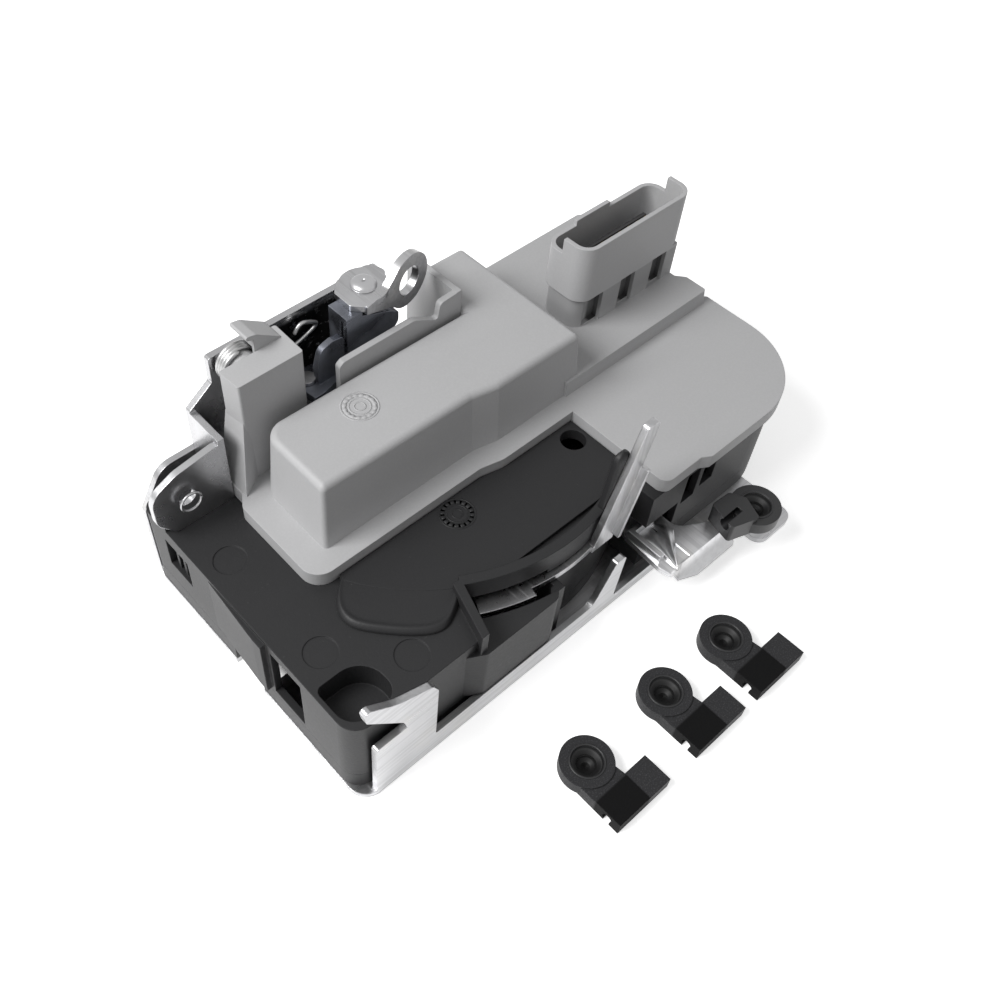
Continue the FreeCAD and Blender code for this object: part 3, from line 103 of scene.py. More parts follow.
# Outline of the lobe of the deck's pad, and the pad's edge behind it
LOBE_RIM = ((9.6, 24.4), (6.2, 22.2), (3.4, 19.0), (2.0, 15.6), (2.3, 11.4), (5.7, 6.9), (11.2, 0.9),
            (15.5, -2.7), (18.1, -4.4), (21.9, -5.2), (25.7, -3.0), (28.3, -1.9), (31.7, 1.3))
LOBE_ROOT = ((10.2, 25.0), (15.2, 19.0), (20.2, 12.6), (25.6, 6.8), (31.4, 2.4))

# Arm of the return spring behind the tower and its hook in the pocket; the first point is
# where the coil ends
SPRING_ARM = ((18.0, 77.8, 65.6), (26.0, 77.8, 64.4), (34.0, 77.8, 63.6), (38.5, 77.7, 64.4),
              (42.0, 77.5, 66.0), (44.6, 77.3, 67.4), (44.8, 77.0, 69.0), (42.6, 76.8, 70.4),
              (39.8, 76.8, 71.9), (38.2, 76.8, 71.0), (36.8, 76.8, 69.0))

# Upper face of the inside lever's sheet, crease of its front fold along Y, how far the fold
# reaches before the crease, and the stretch along X over which it deepens
LEVER_TOP = 15.6
LEVER_CREASE = -25.45
LEVER_REACH = 6.4
LEVER_DEEPENS = (92.0, 102.0)

# Fold of the inside lever: the level between its upper and lower edges, how far each sinks at
# the left, its width before the crease there and what it gains, and the shift of its left end
FOLD_LEVEL = 13.5
FOLD_UPPER_DROP = 3.6
FOLD_LOWER_DROP = 0.4
FOLD_WIDTH = 1.5
FOLD_WIDENS = 1.6
FOLD_SHIFT = 1.8

# Rib of the CAD's inside lever that the pressed fan takes over, along X, along Y and its height
RIB_X = (94.4, 100.4)
RIB_Y = -10.9
RIB_Z = 16.01

# Pressed fan of the inside lever: the corner where its ridges meet, its first and last angle
# in degrees, and how far it reaches at four angles
FAN_CORNER = (92.9, -26.6)
FAN_ANGLES = (93, 44)
FAN_REACH_ANGLES = (44, 62, 80, 93)
FAN_REACH = (15.5, 18.2, 18.4, 17.0)

# Ridges of the fan: place and width as shares of its angle, and height as a share of the ridge
FAN_RIDGES = ((0.74, 0.16, 1.0), (0.28, 0.13, 0.5))

# Fan: where it starts from its corner, how thick it is at least, how far it lies over the sheet
# and the share of its angle over which its rims fall
FAN_START = 0.6
FAN_SKIN = 0.32
FAN_LIFT = 0.1
FAN_RIM = 0.05

# Rivet of the release lever: radii of the journal, the shank and the core, and the heights of
# the shelf that it stands on and of the head's underside
RIVET_JOURNAL = 2.6
RIVET_SHANK = 1.6
RIVET_CORE = 0.1
RIVET_SHELF = 74.9
RIVET_UNDER_HEAD = 76.8

# Foot and top of the black backing behind the blade of the lock lever, its half thickness and
# the share of its length that rounds off at the top
BACKING_ENDS = ((77.6, -6.85, 41.2), (79.8, -6.85, 62.0))
BACKING_HALF = 1.3
BACKING_ROUND = 0.12

# Share of its section that is left where a tube or bar closes
TIP = 0.02

# Radius of the bead that the ear's rim is rolled to
RIM_BEAD = 0.4

# Shadow in the sunk panels of the connector: the first panel's left edge, the step from one
# panel to the next, the shadow within a step, over the panels' depth and below their top
PANEL_LEFT = (120.7, 120.8)
PANEL_PITCH = 14.6
PANEL_SHADOW = (2.6, 4.2, 6.8, 6.9)
PANEL_DEPTH = (44.1, 44.2, 46.2, 46.3)
PANEL_TOP = (56.0, 56.2)

# Shade of the connector's shroud on the wall below it, along X and along Z
SHROUD_SHADE_X = (115.5, 116.5)
SHROUD_SHADE_Z = (43.5, 50.0, 55.5, 56.2)

# Greased face of the bracket in the lever pocket, darkened partly by grease and partly as painted
# shade: its start along X, its face along Y, its top
POCKET_START = (26.0, 30.0)
POCKET_FACE = (79.4, 79.6)
POCKET_TOP = (71.5, 73.8)

# Shade on the fold of the inside lever along Y
FOLD_SHADE = (-26.8, -25.2)

# Scales of the drawn lines in rolled sheet, by the axis that they run along
DRAWN_LINES = {"x": (18, 700, 700), "y": (700, 18, 700), "z": (600, 600, 18)}

# Floor under the latch: half its side, its drop, and the patch seen through the mouth that gets
# no glow, a painted shade, along X and along Y
FLOOR_HALF = 2500
FLOOR_DROP = 0.1
MOUTH_SHADE_FLOOR = ((-12, -8, 36, 40), (12, 16, 50, 54))

# Grey of the floor in its own light, its glow where it is seen, and the room's strength as a
# light and where it is seen
FLOOR_GREY = (0.38, 0.38, 0.38)
FLOOR_GLOW = 0.56
ROOM_LIGHT = 0.46
ROOM_SEEN = 1.0

# Key lamp: diameter, place and turns in degrees
LAMP_SIZE = 500
LAMP_PLACE = (-520, 220, 680)
LAMP_TURNS = (0, -42, -20)

# Camera: lens and sensor, shift of the picture, place and turns in degrees
LENS = 39.11
SENSOR = 36
SHIFT = (0.0826, -0.0176)
CAMERA_PLACE = (-83.399, -106.32, 276.505)
CAMERA_TURNS = (38.6176, -0.9816, -41.2116)


# Settings

class LatchColours(bpy.types.PropertyGroup):
    """Colours of the moulded and metal parts."""
    cover: FloatVectorProperty(
        name="Cover", description="Grey plastic of the actuator cover",
        subtype="COLOR", size=3, min=0, max=1, default=(0.44, 0.44, 0.445))
    case: FloatVectorProperty(
        name="Case", description="Black plastic of the case",
        subtype="COLOR", size=3, min=0, max=1, default=(0.021, 0.021, 0.022))
    clip: FloatVectorProperty(
        name="Clips", description="Black plastic of the rod clips",
        subtype="COLOR", size=3, min=0, max=1, default=(0.018, 0.018, 0.019))
    steel: FloatVectorProperty(
        name="Zinc plate", description="Bright zinc on the folded sheet steel",
        subtype="COLOR", size=3, min=0, max=1, default=(0.54, 0.54, 0.55))
    claw: FloatVectorProperty(
        name="Claw", description="Blued steel of the claw",
        subtype="COLOR", size=3, min=0, max=1, default=(0.25, 0.26, 0.37))
    dark: FloatVectorProperty(
        name="Dark steel", description="Phosphated steel of the inner levers",
        subtype="COLOR", size=3, min=0, max=1, default=(0.20, 0.21, 0.24))
    wire: FloatVectorProperty(
        name="Spring wire", description="Oiled wire of the springs",
        subtype="COLOR", size=3, min=0, max=1, default=(0.50, 0.50, 0.50))
    brass: FloatVectorProperty(
        name="Contacts", description="Brass of the terminals",
        subtype="COLOR", size=3, min=0, max=1, default=(0.80, 0.62, 0.32))
    natural: FloatVectorProperty(
        name="Natural plastic", description="Unpigmented plastic of the gear and buttons",
        subtype="COLOR", size=3, min=0, max=1, default=(0.72, 0.71, 0.66))


class LatchSizes(bpy.types.PropertyGroup):
    """Sizes of the added pieces, in metres, and the power of the lamp."""
    wire_r: FloatProperty(
        name="Wire radius", description="Radius of the return spring's wire",
        default=0.0006, min=0.0002, max=0.002, unit="LENGTH")
    coil_r: FloatProperty(
        name="Coil radius", description="Radius of the return spring at the middle of its wire",
        default=0.0056, min=0.003, max=0.008, unit="LENGTH")
    turns: IntProperty(
        name="Turns", description="Turns of the return spring", default=4, min=2, max=8)
    dial_r: FloatProperty(
        name="Dial radius", description="Radius of the blank moulding dials",
        default=0.0052, min=0.002, max=0.01, unit="LENGTH")
    dial_rise: FloatProperty(
        name="Dial height", description="Height of the rims of the moulding dials",
        default=0.00012, min=0.00002, max=0.0005, unit="LENGTH")
    lip_r: FloatProperty(
        name="Clip lip radius", description="Radius of the rolled lip round a clip's eye",
        default=0.0048, min=0.003, max=0.007, unit="LENGTH")
    well_r: FloatProperty(
        name="Clip eye radius", description="Radius of the dark cone inside a clip's eye",
        default=0.0044, min=0.002, max=0.006, unit="LENGTH")
    ridge: FloatProperty(
        name="Pressed ridge", description="Height of the ridge pressed into the inside lever",
        default=0.0015, min=0.0, max=0.004, unit="LENGTH")
    rivet_r: FloatProperty(
        name="Rivet head", description="Radius of the rivet's head on the release lever",
        default=0.0038, min=0.003, max=0.006, unit="LENGTH")
    backing_width: FloatProperty(
        name="Blade backing", description="Half width of the black backing of the lock lever",
        default=0.0025, min=0.001, max=0.004, unit="LENGTH")
    rim_r: FloatProperty(
        name="Ear rim", description="Radius of the rolled rim round the hole in the ear",
        default=0.00312, min=0.0028, max=0.005, unit="LENGTH")
    bead: FloatProperty(
        name="Lobe bead", description="Height of the bead round the lobe of the deck's pad",
        default=0.00035, min=0.0, max=0.001, unit="LENGTH")
    fold_depth: FloatProperty(
        name="Fold depth", description="How far the front of the inside lever is folded down",
        default=0.0031, min=0.0, max=0.006, unit="LENGTH")
    key_power: FloatProperty(
        name="Key light", description="Power of the large soft lamp at the left",
        default=7.5, min=0, max=50, unit="POWER")


# Shader expressions

class Value:
    """A number in a shader; sums and products of it add Math nodes."""

    def __init__(self, shading, socket):
        self.shading = shading
        self.socket = socket

    def __add__(self, other):
        return self.shading.math("ADD", self, other)

    __radd__ = __add__

    def __mul__(self, other):
        return self.shading.math("MULTIPLY", self, other)

    __rmul__ = __mul__

    def __sub__(self, other):
        return self.shading.math("SUBTRACT", self, other)

    def __rsub__(self, other):
        return self.shading.math("SUBTRACT", other, self)

    def above(self, low, high):
        """Smooth mask that rises from 0 to 1 between two levels."""
        node = self.shading.node("ShaderNodeMapRange", {"interpolation_type": "SMOOTHSTEP"},
                                 {"Value": self, "From Min": low, "From Max": high})
        return Value(self.shading, node.outputs["Result"])

    def below(self, low, high):
        """Smooth mask that falls from 1 to 0 between two levels."""
        return 1 - self.above(low, high)

    def within(self, start, full, fade, end):
        """Smooth mask that rises between two levels and falls between two more."""
        return self.above(start, full) * self.below(fade, end)


class Shading:
    """The nodes of a material or a world under construction, with its surface shader."""

    def __init__(self, owner, output, shader):
        owner.use_nodes = True
        self.tree = owner.node_tree
        self.tree.nodes.clear()
        self.output = self.node(output, {}, {})
        self.shader = self.node(shader, {}, {})
        self.show(self.shader)

    def node(self, kind, settings, inputs):
        """Adds a node, sets its settings first and then its sockets."""
        node = self.tree.nodes.new(kind)
        for key, value in settings.items():
            setattr(node, key, value)
        for key, value in inputs.items():
            self.feed(node.inputs[key], value)
        return node

    def feed(self, socket, value):
        """Links a value or socket into a socket, or sets a plain number or colour."""
        if isinstance(value, Value):
            self.tree.links.new(value.socket, socket)
        elif isinstance(value, bpy.types.NodeSocket):
            self.tree.links.new(value, socket)
        elif socket.type == "RGBA" and len(value) == 3:
            socket.default_value = (*value, 1)
        else:
            socket.default_value = value

    def set(self, **inputs):
        """Feeds sockets of the surface shader; underscores stand for spaces."""
        for key, value in inputs.items():
            self.feed(self.shader.inputs[key.replace("_", " ")], value)

    def show(self, node):
        """Puts a shader node before the output."""
        self.feed(self.output.inputs["Surface"], node.outputs[0])

    def math(self, operation, first, second):
        """Value worked out from two values, sockets or numbers."""
        node = self.node("ShaderNodeMath", {"operation": operation}, {0: first, 1: second})
        return Value(self, node.outputs[0])

    def in_view(self):
        """1 for rays that the camera sees, straight or in gloss, and 0 for all others."""
        ray = self.node("ShaderNodeLightPath", {}, {})
        return self.math("MAXIMUM", ray.outputs["Is Camera Ray"], ray.outputs["Is Glossy Ray"])


class Finish(Shading):
    """A material under construction, with the patterns that finishes are made of."""

    def __init__(self, name, shader="ShaderNodeBsdfPrincipled"):
        self.material = bpy.data.materials.new(name)
        super().__init__(self.material, "ShaderNodeOutputMaterial", shader)
        self.place = self.node("ShaderNodeTexCoord", {}, {}).outputs["Object"]

    def stretched(self, scale):
        """Object coordinates scaled separately along X, Y and Z."""
        return self.node("ShaderNodeMapping", {}, {"Vector": self.place, "Scale": scale}).outputs[0]

    def coordinates(self):
        """X, Y and Z of the place on the piece, in millimetres."""
        spot = self.node("ShaderNodeSeparateXYZ", {}, {"Vector": self.stretched((1 / MM,) * 3)})
        return [Value(self, spot.outputs[axis]) for axis in "XYZ"]

    def noise(self, scale, detail, rough=0.55):
        """Cloudy pattern. Its scale is one number, or one along each axis to draw it out."""
        even = not isinstance(scale, tuple)
        node = self.node("ShaderNodeTexNoise", {}, {
            "Vector": self.place if even else self.stretched(scale),
            "Scale": scale if even else 1.0, "Detail": detail, "Roughness": rough})
        return Value(self, node.outputs["Fac"])

    def cells(self, scale):
        """Pattern of small round cells."""
        node = self.node("ShaderNodeTexVoronoi", {}, {"Vector": self.place, "Scale": scale})
        return Value(self, node.outputs["Distance"])

    def mix(self, mask, first, second):
        """Colour that goes from first to second as mask rises."""
        node = self.node("ShaderNodeMix", {"data_type": "RGBA"}, {0: mask, 6: first, 7: second})
        return node.outputs[2]

    def bump(self, height, distance, strength, edge=0.0):
        """Relief from a height, over corners softened by a small radius; both in millimetres."""
        inputs = {"Height": height, "Distance": distance * MM, "Strength": strength}
        if edge > 0:
            soft = self.node("ShaderNodeBevel", {"samples": 6}, {"Radius": edge * MM})
            inputs["Normal"] = soft.outputs[0]
        self.set(Normal=self.node("ShaderNodeBump", {}, inputs).outputs[0])


def shade(colour, factor):
    """The same colour, lighter or darker."""
    return tuple(min(1.0, c * factor) for c in colour)


# Finishes

def moulded(name, colour, rough, grain, gloss=0.5, panels=False):
    """Spark-eroded mould grain, slow flow marks and small pale scuffs. With panels, the sunk
    panels of the connector are shaded too."""
    f = Finish(name)
    drift = f.noise(22, detail=2)
    flow = f.noise((25, 140, 90), detail=3)
    fine = f.noise(1500, detail=2)
    pits = f.cells(900)
    scuff = f.noise(420, detail=5, rough=0.7).above(0.66, 0.78)
    base = f.mix(drift * 0.6 + flow * 0.4, shade(colour, 0.93), shade(colour, 1.06))
    base = f.mix(fine.above(0.35, 0.75) * 0.35, base, shade(colour, 1.12))
    base = f.mix(scuff * 0.18, base, tuple(c * 0.6 + 0.25 for c in colour))
    if panels:
        base = shaded_panels(f, base, colour)
    f.set(Base_Color=base, Roughness=drift * 0.10 + fine * 0.10 + (rough - 0.08),
          Specular_IOR_Level=gloss)
    f.bump(fine * 0.7 + pits * 0.3, distance=0.06, strength=grain, edge=0.35)
    return f.material


def shaded_panels(f, base, colour):
    """The base colour, darker in each sunk panel of the connector towards the pier on its
    right, and a little darker on the wall below the shroud."""
    x, y, z = f.coordinates()
    step = f.math("MODULO", x - PANEL_LEFT[1], PANEL_PITCH)
    panel = x.above(*PANEL_LEFT) * y.within(*PANEL_DEPTH) * z.below(*PANEL_TOP)
    base = f.mix(step.within(*PANEL_SHADOW) * panel, base, shade(colour, 0.12))
    wall = x.above(*SHROUD_SHADE_X) * z.within(*SHROUD_SHADE_Z)
    return f.mix(wall * 0.5, base, shade(colour, 0.45))


def zinc_plate(name, colour, along, fold=None):
    """Bright zinc over rolled sheet: cloudy passivation, drawn lines along one axis and fine
    scratches. What lies before the fold, two levels along Y, is darker."""
    f = Finish(name)
    cloud = f.noise(45, detail=4, rough=0.6)
    drawn = f.noise(DRAWN_LINES[along], detail=4, rough=0.6)
    crystals = f.cells(700)
    scratch = f.noise((900, 60, 300), detail=2, rough=0.5).above(0.62, 0.70)
    yellowed = (colour[0] * 0.96, colour[1] * 0.93, colour[2] * 0.84)
    base = f.mix(cloud.above(0.35, 0.65), shade(colour, 0.86), colour)
    base = f.mix(f.noise(70, detail=3).above(0.52, 0.72) * 0.35, base, yellowed)
    base = f.mix(scratch * 0.3, base, shade(colour, 1.2))
    base = f.mix(drawn.above(0.44, 0.60) * 0.4, base, shade(colour, 0.62))
    if fold is not None:
        _, y, _ = f.coordinates()
        base = f.mix(y.below(*fold) * 0.8, base, shade(colour, 0.38))
    f.set(Base_Color=base, Metallic=1.0,
          Roughness=cloud * 0.14 + drawn * 0.16 + scratch * 0.1 + 0.16)
    f.bump(drawn * 0.6 + crystals * 0.15 + cloud * 0.5, distance=0.05, strength=0.5, edge=0.3)
    return f.material


def shaded_greased_bracket(name, colour):
    """Zinc on the outside; the inner face in the lever pocket is dark, partly grease and partly
    painted shade, with pale specks that are painted highlights.
    """
    f = Finish(name)
    cloud = f.noise(45, detail=4, rough=0.6)
    speck = f.noise(380, detail=4, rough=0.6).above(0.56, 0.68)
    x, y, z = f.coordinates()
    wall = x.above(*POCKET_START) * y.below(*POCKET_FACE) * z.below(*POCKET_TOP)
    zinc = f.mix(cloud.above(0.35, 0.65), shade(colour, 0.86), colour)
    # Dark of the pocket face, partly grease and partly painted shade; its pale specks are painted
    # highlights
    grease = f.mix(speck, shade(colour, 0.05), shade(colour, 0.8))
    f.set(Base_Color=f.mix(wall, zinc, grease), Metallic=1.0,
          Roughness=cloud * 0.2 + wall * 0.05 + 0.18)
    f.bump(f.noise(500, detail=4) * 0.6 + cloud * 0.4, distance=0.08, strength=0.6, edge=0.3)
    return f.material


def clip_plastic(name, colour, middle):
    """Black plastic of a loose clip whose ring has its middle at a place along X: the near
    part of its block is darkened as painted shade, the far end is grained and paler."""
    f = Finish(name)
    x, y, _ = f.coordinates()
    near = x.below(*(middle + end for end in CLIP_SHADE_END))
    # The near part of the block is darkened as painted shade
    dark = near * y.below(*CLIP_SHADE_BACK)
    grain = f.noise(1400, detail=3)
    speck = f.noise(2600, detail=2).above(0.5, 0.7)
    base = f.mix(speck, shade(colour, 1.7), shade(colour, 3.2))
    base = f.mix(dark, base, shade(colour, 0.2))
    f.set(Base_Color=base, Roughness=grain * 0.2 + dark * 0.2 + 0.36, Specular_IOR_Level=0.12)
    f.bump(grain, distance=0.10, strength=0.6, edge=0.3)
    return f.material


def dark_steel(name, colour):
    """Phosphated steel with wiped grease that leaves glossy patches."""
    f = Finish(name)
    cloud = f.noise(90, detail=5, rough=0.65)
    grease = f.noise(55, detail=3).above(0.46, 0.60)
    grit = f.noise(1800, detail=2)
    base = f.mix(cloud, shade(colour, 0.6), shade(colour, 1.5))
    base = f.mix(grease * 0.5, base, shade(colour, 0.45))
    f.set(Base_Color=base, Metallic=0.9, Roughness=0.46 - grease * 0.26 + grit * 0.08)
    f.bump(grit * 0.5 + cloud * 0.5, distance=0.08, strength=0.6, edge=0.3)
    return f.material


def turned_steel(name, colour, rough):
    """Machined or drawn round stock with fine rings and faint stain."""
    f = Finish(name)
    rings = f.noise((260, 260, 2200), detail=2, rough=0.5)
    stain = f.noise(140, detail=4, rough=0.6)
    base = f.mix(stain, shade(colour, 0.82), shade(colour, 1.1))
    f.set(Base_Color=base, Metallic=1.0, Roughness=rings * 0.2 + stain * 0.1 + (rough - 0.12))
    f.bump(rings, distance=0.04, strength=0.5, edge=0.2)
    return f.material


def rubber(name):
    """Black rubber with a pale bloom."""
    f = Finish(name)
    bloom = f.noise(160, detail=4, rough=0.6)
    base = f.mix(bloom, (0.016, 0.016, 0.016), (0.045, 0.045, 0.043))
    f.set(Base_Color=base, Roughness=bloom * 0.15 + 0.62)
    f.bump(f.noise(900, detail=3), distance=0.08, strength=0.5, edge=0.3)
    return f.material


def pressed_brass(name, colour):
    """Brass with a thin tarnish."""
    f = Finish(name)
    tarnish = f.noise(180, detail=4, rough=0.6)
    base = f.mix(tarnish.above(0.4, 0.7), colour, shade(colour, 0.7))
    f.set(Base_Color=base, Metallic=1.0, Roughness=tarnish * 0.2 + 0.18)
    f.bump(f.noise(1500, detail=2), distance=0.03, strength=0.4)
    return f.material


def dress(finish, *nodes):
    """Gives CAD nodes a finish in all their slots."""
    for name in nodes:
        for place in frame["nodes"][name].material_slots:
            place.material = finish


def coat(piece, finish):
    """Gives a new piece a finish that is made already."""
    piece.data.materials.append(bpy.data.materials[finish])


# Meshes

def surface(name, points, closed_u, closed_v):
    """Mesh of a grid of points: rows are u and columns are v, closed where asked."""
    rows, columns = points.shape[:2]
    u = np.arange(rows if closed_u else rows - 1)
    v = np.arange(columns if closed_v else columns - 1)
    u, v = np.meshgrid(u, v, indexing="ij")
    u2 = (u + 1) % rows
    v2 = (v + 1) % columns
    quads = np.stack([u * columns + v, u * columns + v2, u2 * columns + v2, u2 * columns + v],
                     axis=-1).reshape(-1, 4)
    mesh = bpy.data.meshes.new(name)
    mesh.vertices.add(rows * columns)
    mesh.vertices.foreach_set("co", points.reshape(-1).astype(np.float32))
    mesh.loops.add(quads.size)
    mesh.loops.foreach_set("vertex_index", quads.reshape(-1).astype(np.int32))
    mesh.polygons.add(len(quads))
    mesh.polygons.foreach_set("loop_start", np.arange(0, quads.size, 4, dtype=np.int32))
    mesh.update(calc_edges=True)
    mesh.polygons.foreach_set("use_smooth", np.ones(len(quads), dtype=bool))
    piece = bpy.data.objects.new(name, mesh)
    bpy.context.scene.collection.objects.link(piece)
    return piece


def outwards(piece):
    """Turns the faces of a closed piece outwards."""
    form = bmesh.new()
    form.from_mesh(piece.data)
    bmesh.ops.recalc_face_normals(form, faces=form.faces)
    form.to_mesh(piece.data)
    form.free()


def tube(name, path, radius, side, sides=14):
    """Tube along a path. Each section is a circle of the given radius in the plane of
    side x tangent and its own normal; the end sections shrink almost to a point."""
    tangent = np.gradient(path, axis=0)
    tangent /= np.linalg.norm(tangent, axis=1, keepdims=True)
    across = np.cross(tangent, side)
    across /= np.linalg.norm(across, axis=1, keepdims=True)
    up = np.cross(tangent, across)
    reach = np.full(len(path), radius)
    reach[[0, -1]] = radius * TIP
    turn = np.linspace(0, 2 * math.pi, sides, endpoint=False)
    ring = (across[:, None] * np.cos(turn)[None, :, None]
            + up[:, None] * np.sin(turn)[None, :, None])
    wire = surface(name, path[:, None] + ring * reach[:, None, None], False, True)
    outwards(wire)
    return wire


def ring_band(name, centre, radius, profile, slope=0.0, steps=72, ticks=0):
    """Ring turned about Z: each profile point is a distance from the circle of the given
    radius and a height; the height also follows a slope along X. With ticks, the height
    above zero swells and falls that many times round the ring."""
    turn = np.linspace(0, 2 * math.pi, steps, endpoint=False)
    away, height = np.array(profile).T
    x = np.cos(turn)[:, None] * (radius + away)
    y = np.sin(turn)[:, None] * (radius + away)
    swell = np.clip(0.5 + 1.5 * np.cos(turn * ticks), 0, 1)[:, None]
    z = np.where(height > 0, height * swell, height) + x * slope
    ring = surface(name, np.stack([x, y, z], axis=-1) + np.array(centre), True, True)
    outwards(ring)
    return ring


def skinned(name, over, under):
    """Closed sheet of an upper and a lower grid of points, which meet along both sides."""
    sheet = surface(name, np.concatenate([over, under[:, ::-1]], axis=1), False, True)
    outwards(sheet)
    return sheet


def along_path(points, stations, places):
    """Points at the given places of a path whose corners lie at the given stations."""
    return np.stack([np.interp(places, stations, column) for column in points.T], axis=-1)


def softened(path, passes):
    """The path after some passes, each of which moves every inner point to the mean of
    itself and its two neighbours."""
    for _ in range(passes):
        path[1:-1] = (path[:-2] + path[1:-1] + path[2:]) / 3
    return path


# Pieces

class LATCH_OT_plastic(bpy.types.Operator):
    """Finish the moulded parts"""
    bl_idname = "latch.plastic"
    bl_label = "Finish moulded parts"

    def execute(self, context):
        colours = context.scene.latch_colours
        dress(moulded("cover_grey_plastic", colours.cover, rough=0.50, grain=0.35, panels=True),
              "actuator_cover")
        dress(moulded("case_black_plastic", colours.case, rough=0.46, grain=0.7, gloss=0.3),
              "upper_case", "lower_case")
        dress(moulded("clip_black_plastic", colours.clip, rough=0.40, grain=0.45), "rod_clip")
        for number, x in enumerate(SPARE_PLACES, 1):
            name = "spare_clip_%d" % number
            dress(clip_plastic(name + "_plastic", colours.clip, x), name)
        dress(moulded("header_plastic", shade(colours.case, 1.2), rough=0.45, grain=0.4),
              "terminal_header", "ajar_switch", "lock_switch")
        dress(moulded("natural_plastic", colours.natural, rough=0.42, grain=0.3),
              "worm_wheel", "motor_cap", "ajar_switch_button", "lock_switch_button")
        dress(rubber("bumper_rubber"), "claw_bumper")
        # The linings of the clips' eyes take this one once they are made; it is the clip's black
        # darkened further, a painted shade in the eyes' hollows
        moulded("eye_shade_black", shade(colours.clip, 0.2), rough=0.55, grain=0.3)
        return {"FINISHED"}


class LATCH_OT_steel(bpy.types.Operator):
    """Finish the sheet steel, the levers and the pins"""
    bl_idname = "latch.steel"
    bl_label = "Finish steel parts"

    def execute(self, context):
        colours = context.scene.latch_colours
        dress(zinc_plate("zinc_plate_x", colours.steel, "x"), "latch_plate")
        dress(shaded_greased_bracket("shaded_greased_zinc", colours.steel), "support_bracket")
        dress(zinc_plate("zinc_lever_y", colours.steel, "y"), "release_lever")
        dress(zinc_plate("bright_lever", shade(colours.steel, 1.4), "y", fold=FOLD_SHADE),
              "inside_lever")
        dress(zinc_plate("zinc_lever_z", colours.steel, "z"), "lock_lever")
        dress(zinc_plate("blued_claw", colours.claw, "x"), "claw")
        dress(dark_steel("phosphated_steel", colours.dark), "pawl", "lift_lever", "relay_plate")
        dress(turned_steel("turned_pin", colours.steel, rough=0.3), "claw_pin", "pawl_pin",
              "lock_lever_pin", "lever_rivet", "lift_lever_post", "inside_lever_pin",
              "wheel_axle", "motor_armature", "motor_can")
        dress(turned_steel("spring_wire", colours.wire, rough=0.34), "claw_spring", "pawl_spring",
              "return_spring")
        dress(pressed_brass("terminal_brass", colours.brass), "connector_pins", "lead_frame")
        return {"FINISHED"}


class LATCH_OT_spring(bpy.types.Operator):
    """Wind the return spring round the stub behind the tower, with its arm in the pocket"""
    bl_idname = "latch.spring"
    bl_label = "Return spring"

    def execute(self, context):
        """The coil is a helix about Y in the box of the CAD's spring, half a turn short so
        that it ends at its foot; the arm leaves there along its own softened path."""
        sizes = context.scene.latch_sizes
        low, high = np.array(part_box("return_spring"))
        middle = (low + high) / 2
        wire = sizes.wire_r
        turn = np.linspace(0, math.pi * (2 * sizes.turns - 1), 40 * sizes.turns + 1)
        along = low[1] + wire + (high[1] - low[1] - 2 * wire) * turn / turn[-1]
        coil = np.stack([middle[0] - sizes.coil_r * np.sin(turn), along,
                         middle[2] + sizes.coil_r * np.cos(turn)], axis=-1)
        arm = np.array(SPRING_ARM) * MM
        arm[0] = coil[-1]
        corners = np.arange(len(arm))
        arm = along_path(arm, corners, np.linspace(0, corners[-1], 90))
        arm = softened(arm, passes=16)
        spring = tube("return_spring_wire", np.concatenate([coil, arm[1:]]), wire, (0, 1, 0))
        coat(spring, "spring_wire")
        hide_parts("return_spring")
        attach(spring, "latch")
        return {"FINISHED"}


class LATCH_OT_dials(bpy.types.Operator):
    """Raise the blank moulding dials on the cover and on the deck"""
    bl_idname = "latch.dials"
    bl_label = "Moulding dials"

    def execute(self, context):
        """Each ring has a low ridge as its profile, from its foot up to its crest and down;
        the ticks are a broader ridge that rises and falls round the ring."""
        sizes = context.scene.latch_sizes
        rise = sizes.dial_rise
        for name, centre, slope, finish, slot in DIALS:
            spot = np.array(centre) * MM
            for part, share, widths, steps, ticks in DIAL_RINGS:
                foot, crest = np.array(widths) * MM
                edge = [(-foot, -rise), (-crest, rise), (crest, rise), (foot, -rise)]
                ring = ring_band("%s_%s" % (name, part), spot, sizes.dial_r * share, edge, slope,
                                 steps, ticks)
                coat(ring, finish)
                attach(ring, "latch")
        return {"FINISHED"}


class LATCH_OT_lips(bpy.types.Operator):
    """Roll the lips round the eyes of the rod clips and line the eyes"""
    bl_idname = "latch.lips"
    bl_label = "Clip lips"

    def execute(self, context):
        """The lip is a small circle turned about the eye's axis; the lining is a profile that
        steps down and in."""
        sizes = context.scene.latch_sizes
        angle = np.linspace(0, 2 * math.pi, 12, endpoint=False)
        bead = np.stack([-np.cos(angle), np.sin(angle)], axis=-1) * LIP_BEAD * MM
        lining = [(share * sizes.well_r, height * MM) for share, height in EYE_STEPS]
        places = [("rod_clip_lip", "rod_clip_well", ROD_CLIP_EYE, "rod_clip")]
        for number, x in enumerate(SPARE_PLACES, 1):
            places.append(("spare_lip_%d" % number, "spare_well_%d" % number, (x, *SPARE_EYE),
                           "latch"))
        for lip_name, well_name, centre, body in places:
            spot = np.array(centre) * MM
            lip = ring_band(lip_name, spot, sizes.lip_r, bead)
            self.fit(lip, "clip_black_plastic", body)
            well = ring_band(well_name, spot, sizes.well_r, lining)
            self.fit(well, "eye_shade_black", body)
        return {"FINISHED"}

    def fit(self, ring, finish, body):
        """Gives a ring of a clip its finish and lets it move with its clip."""
        coat(ring, finish)
        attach(ring, body)


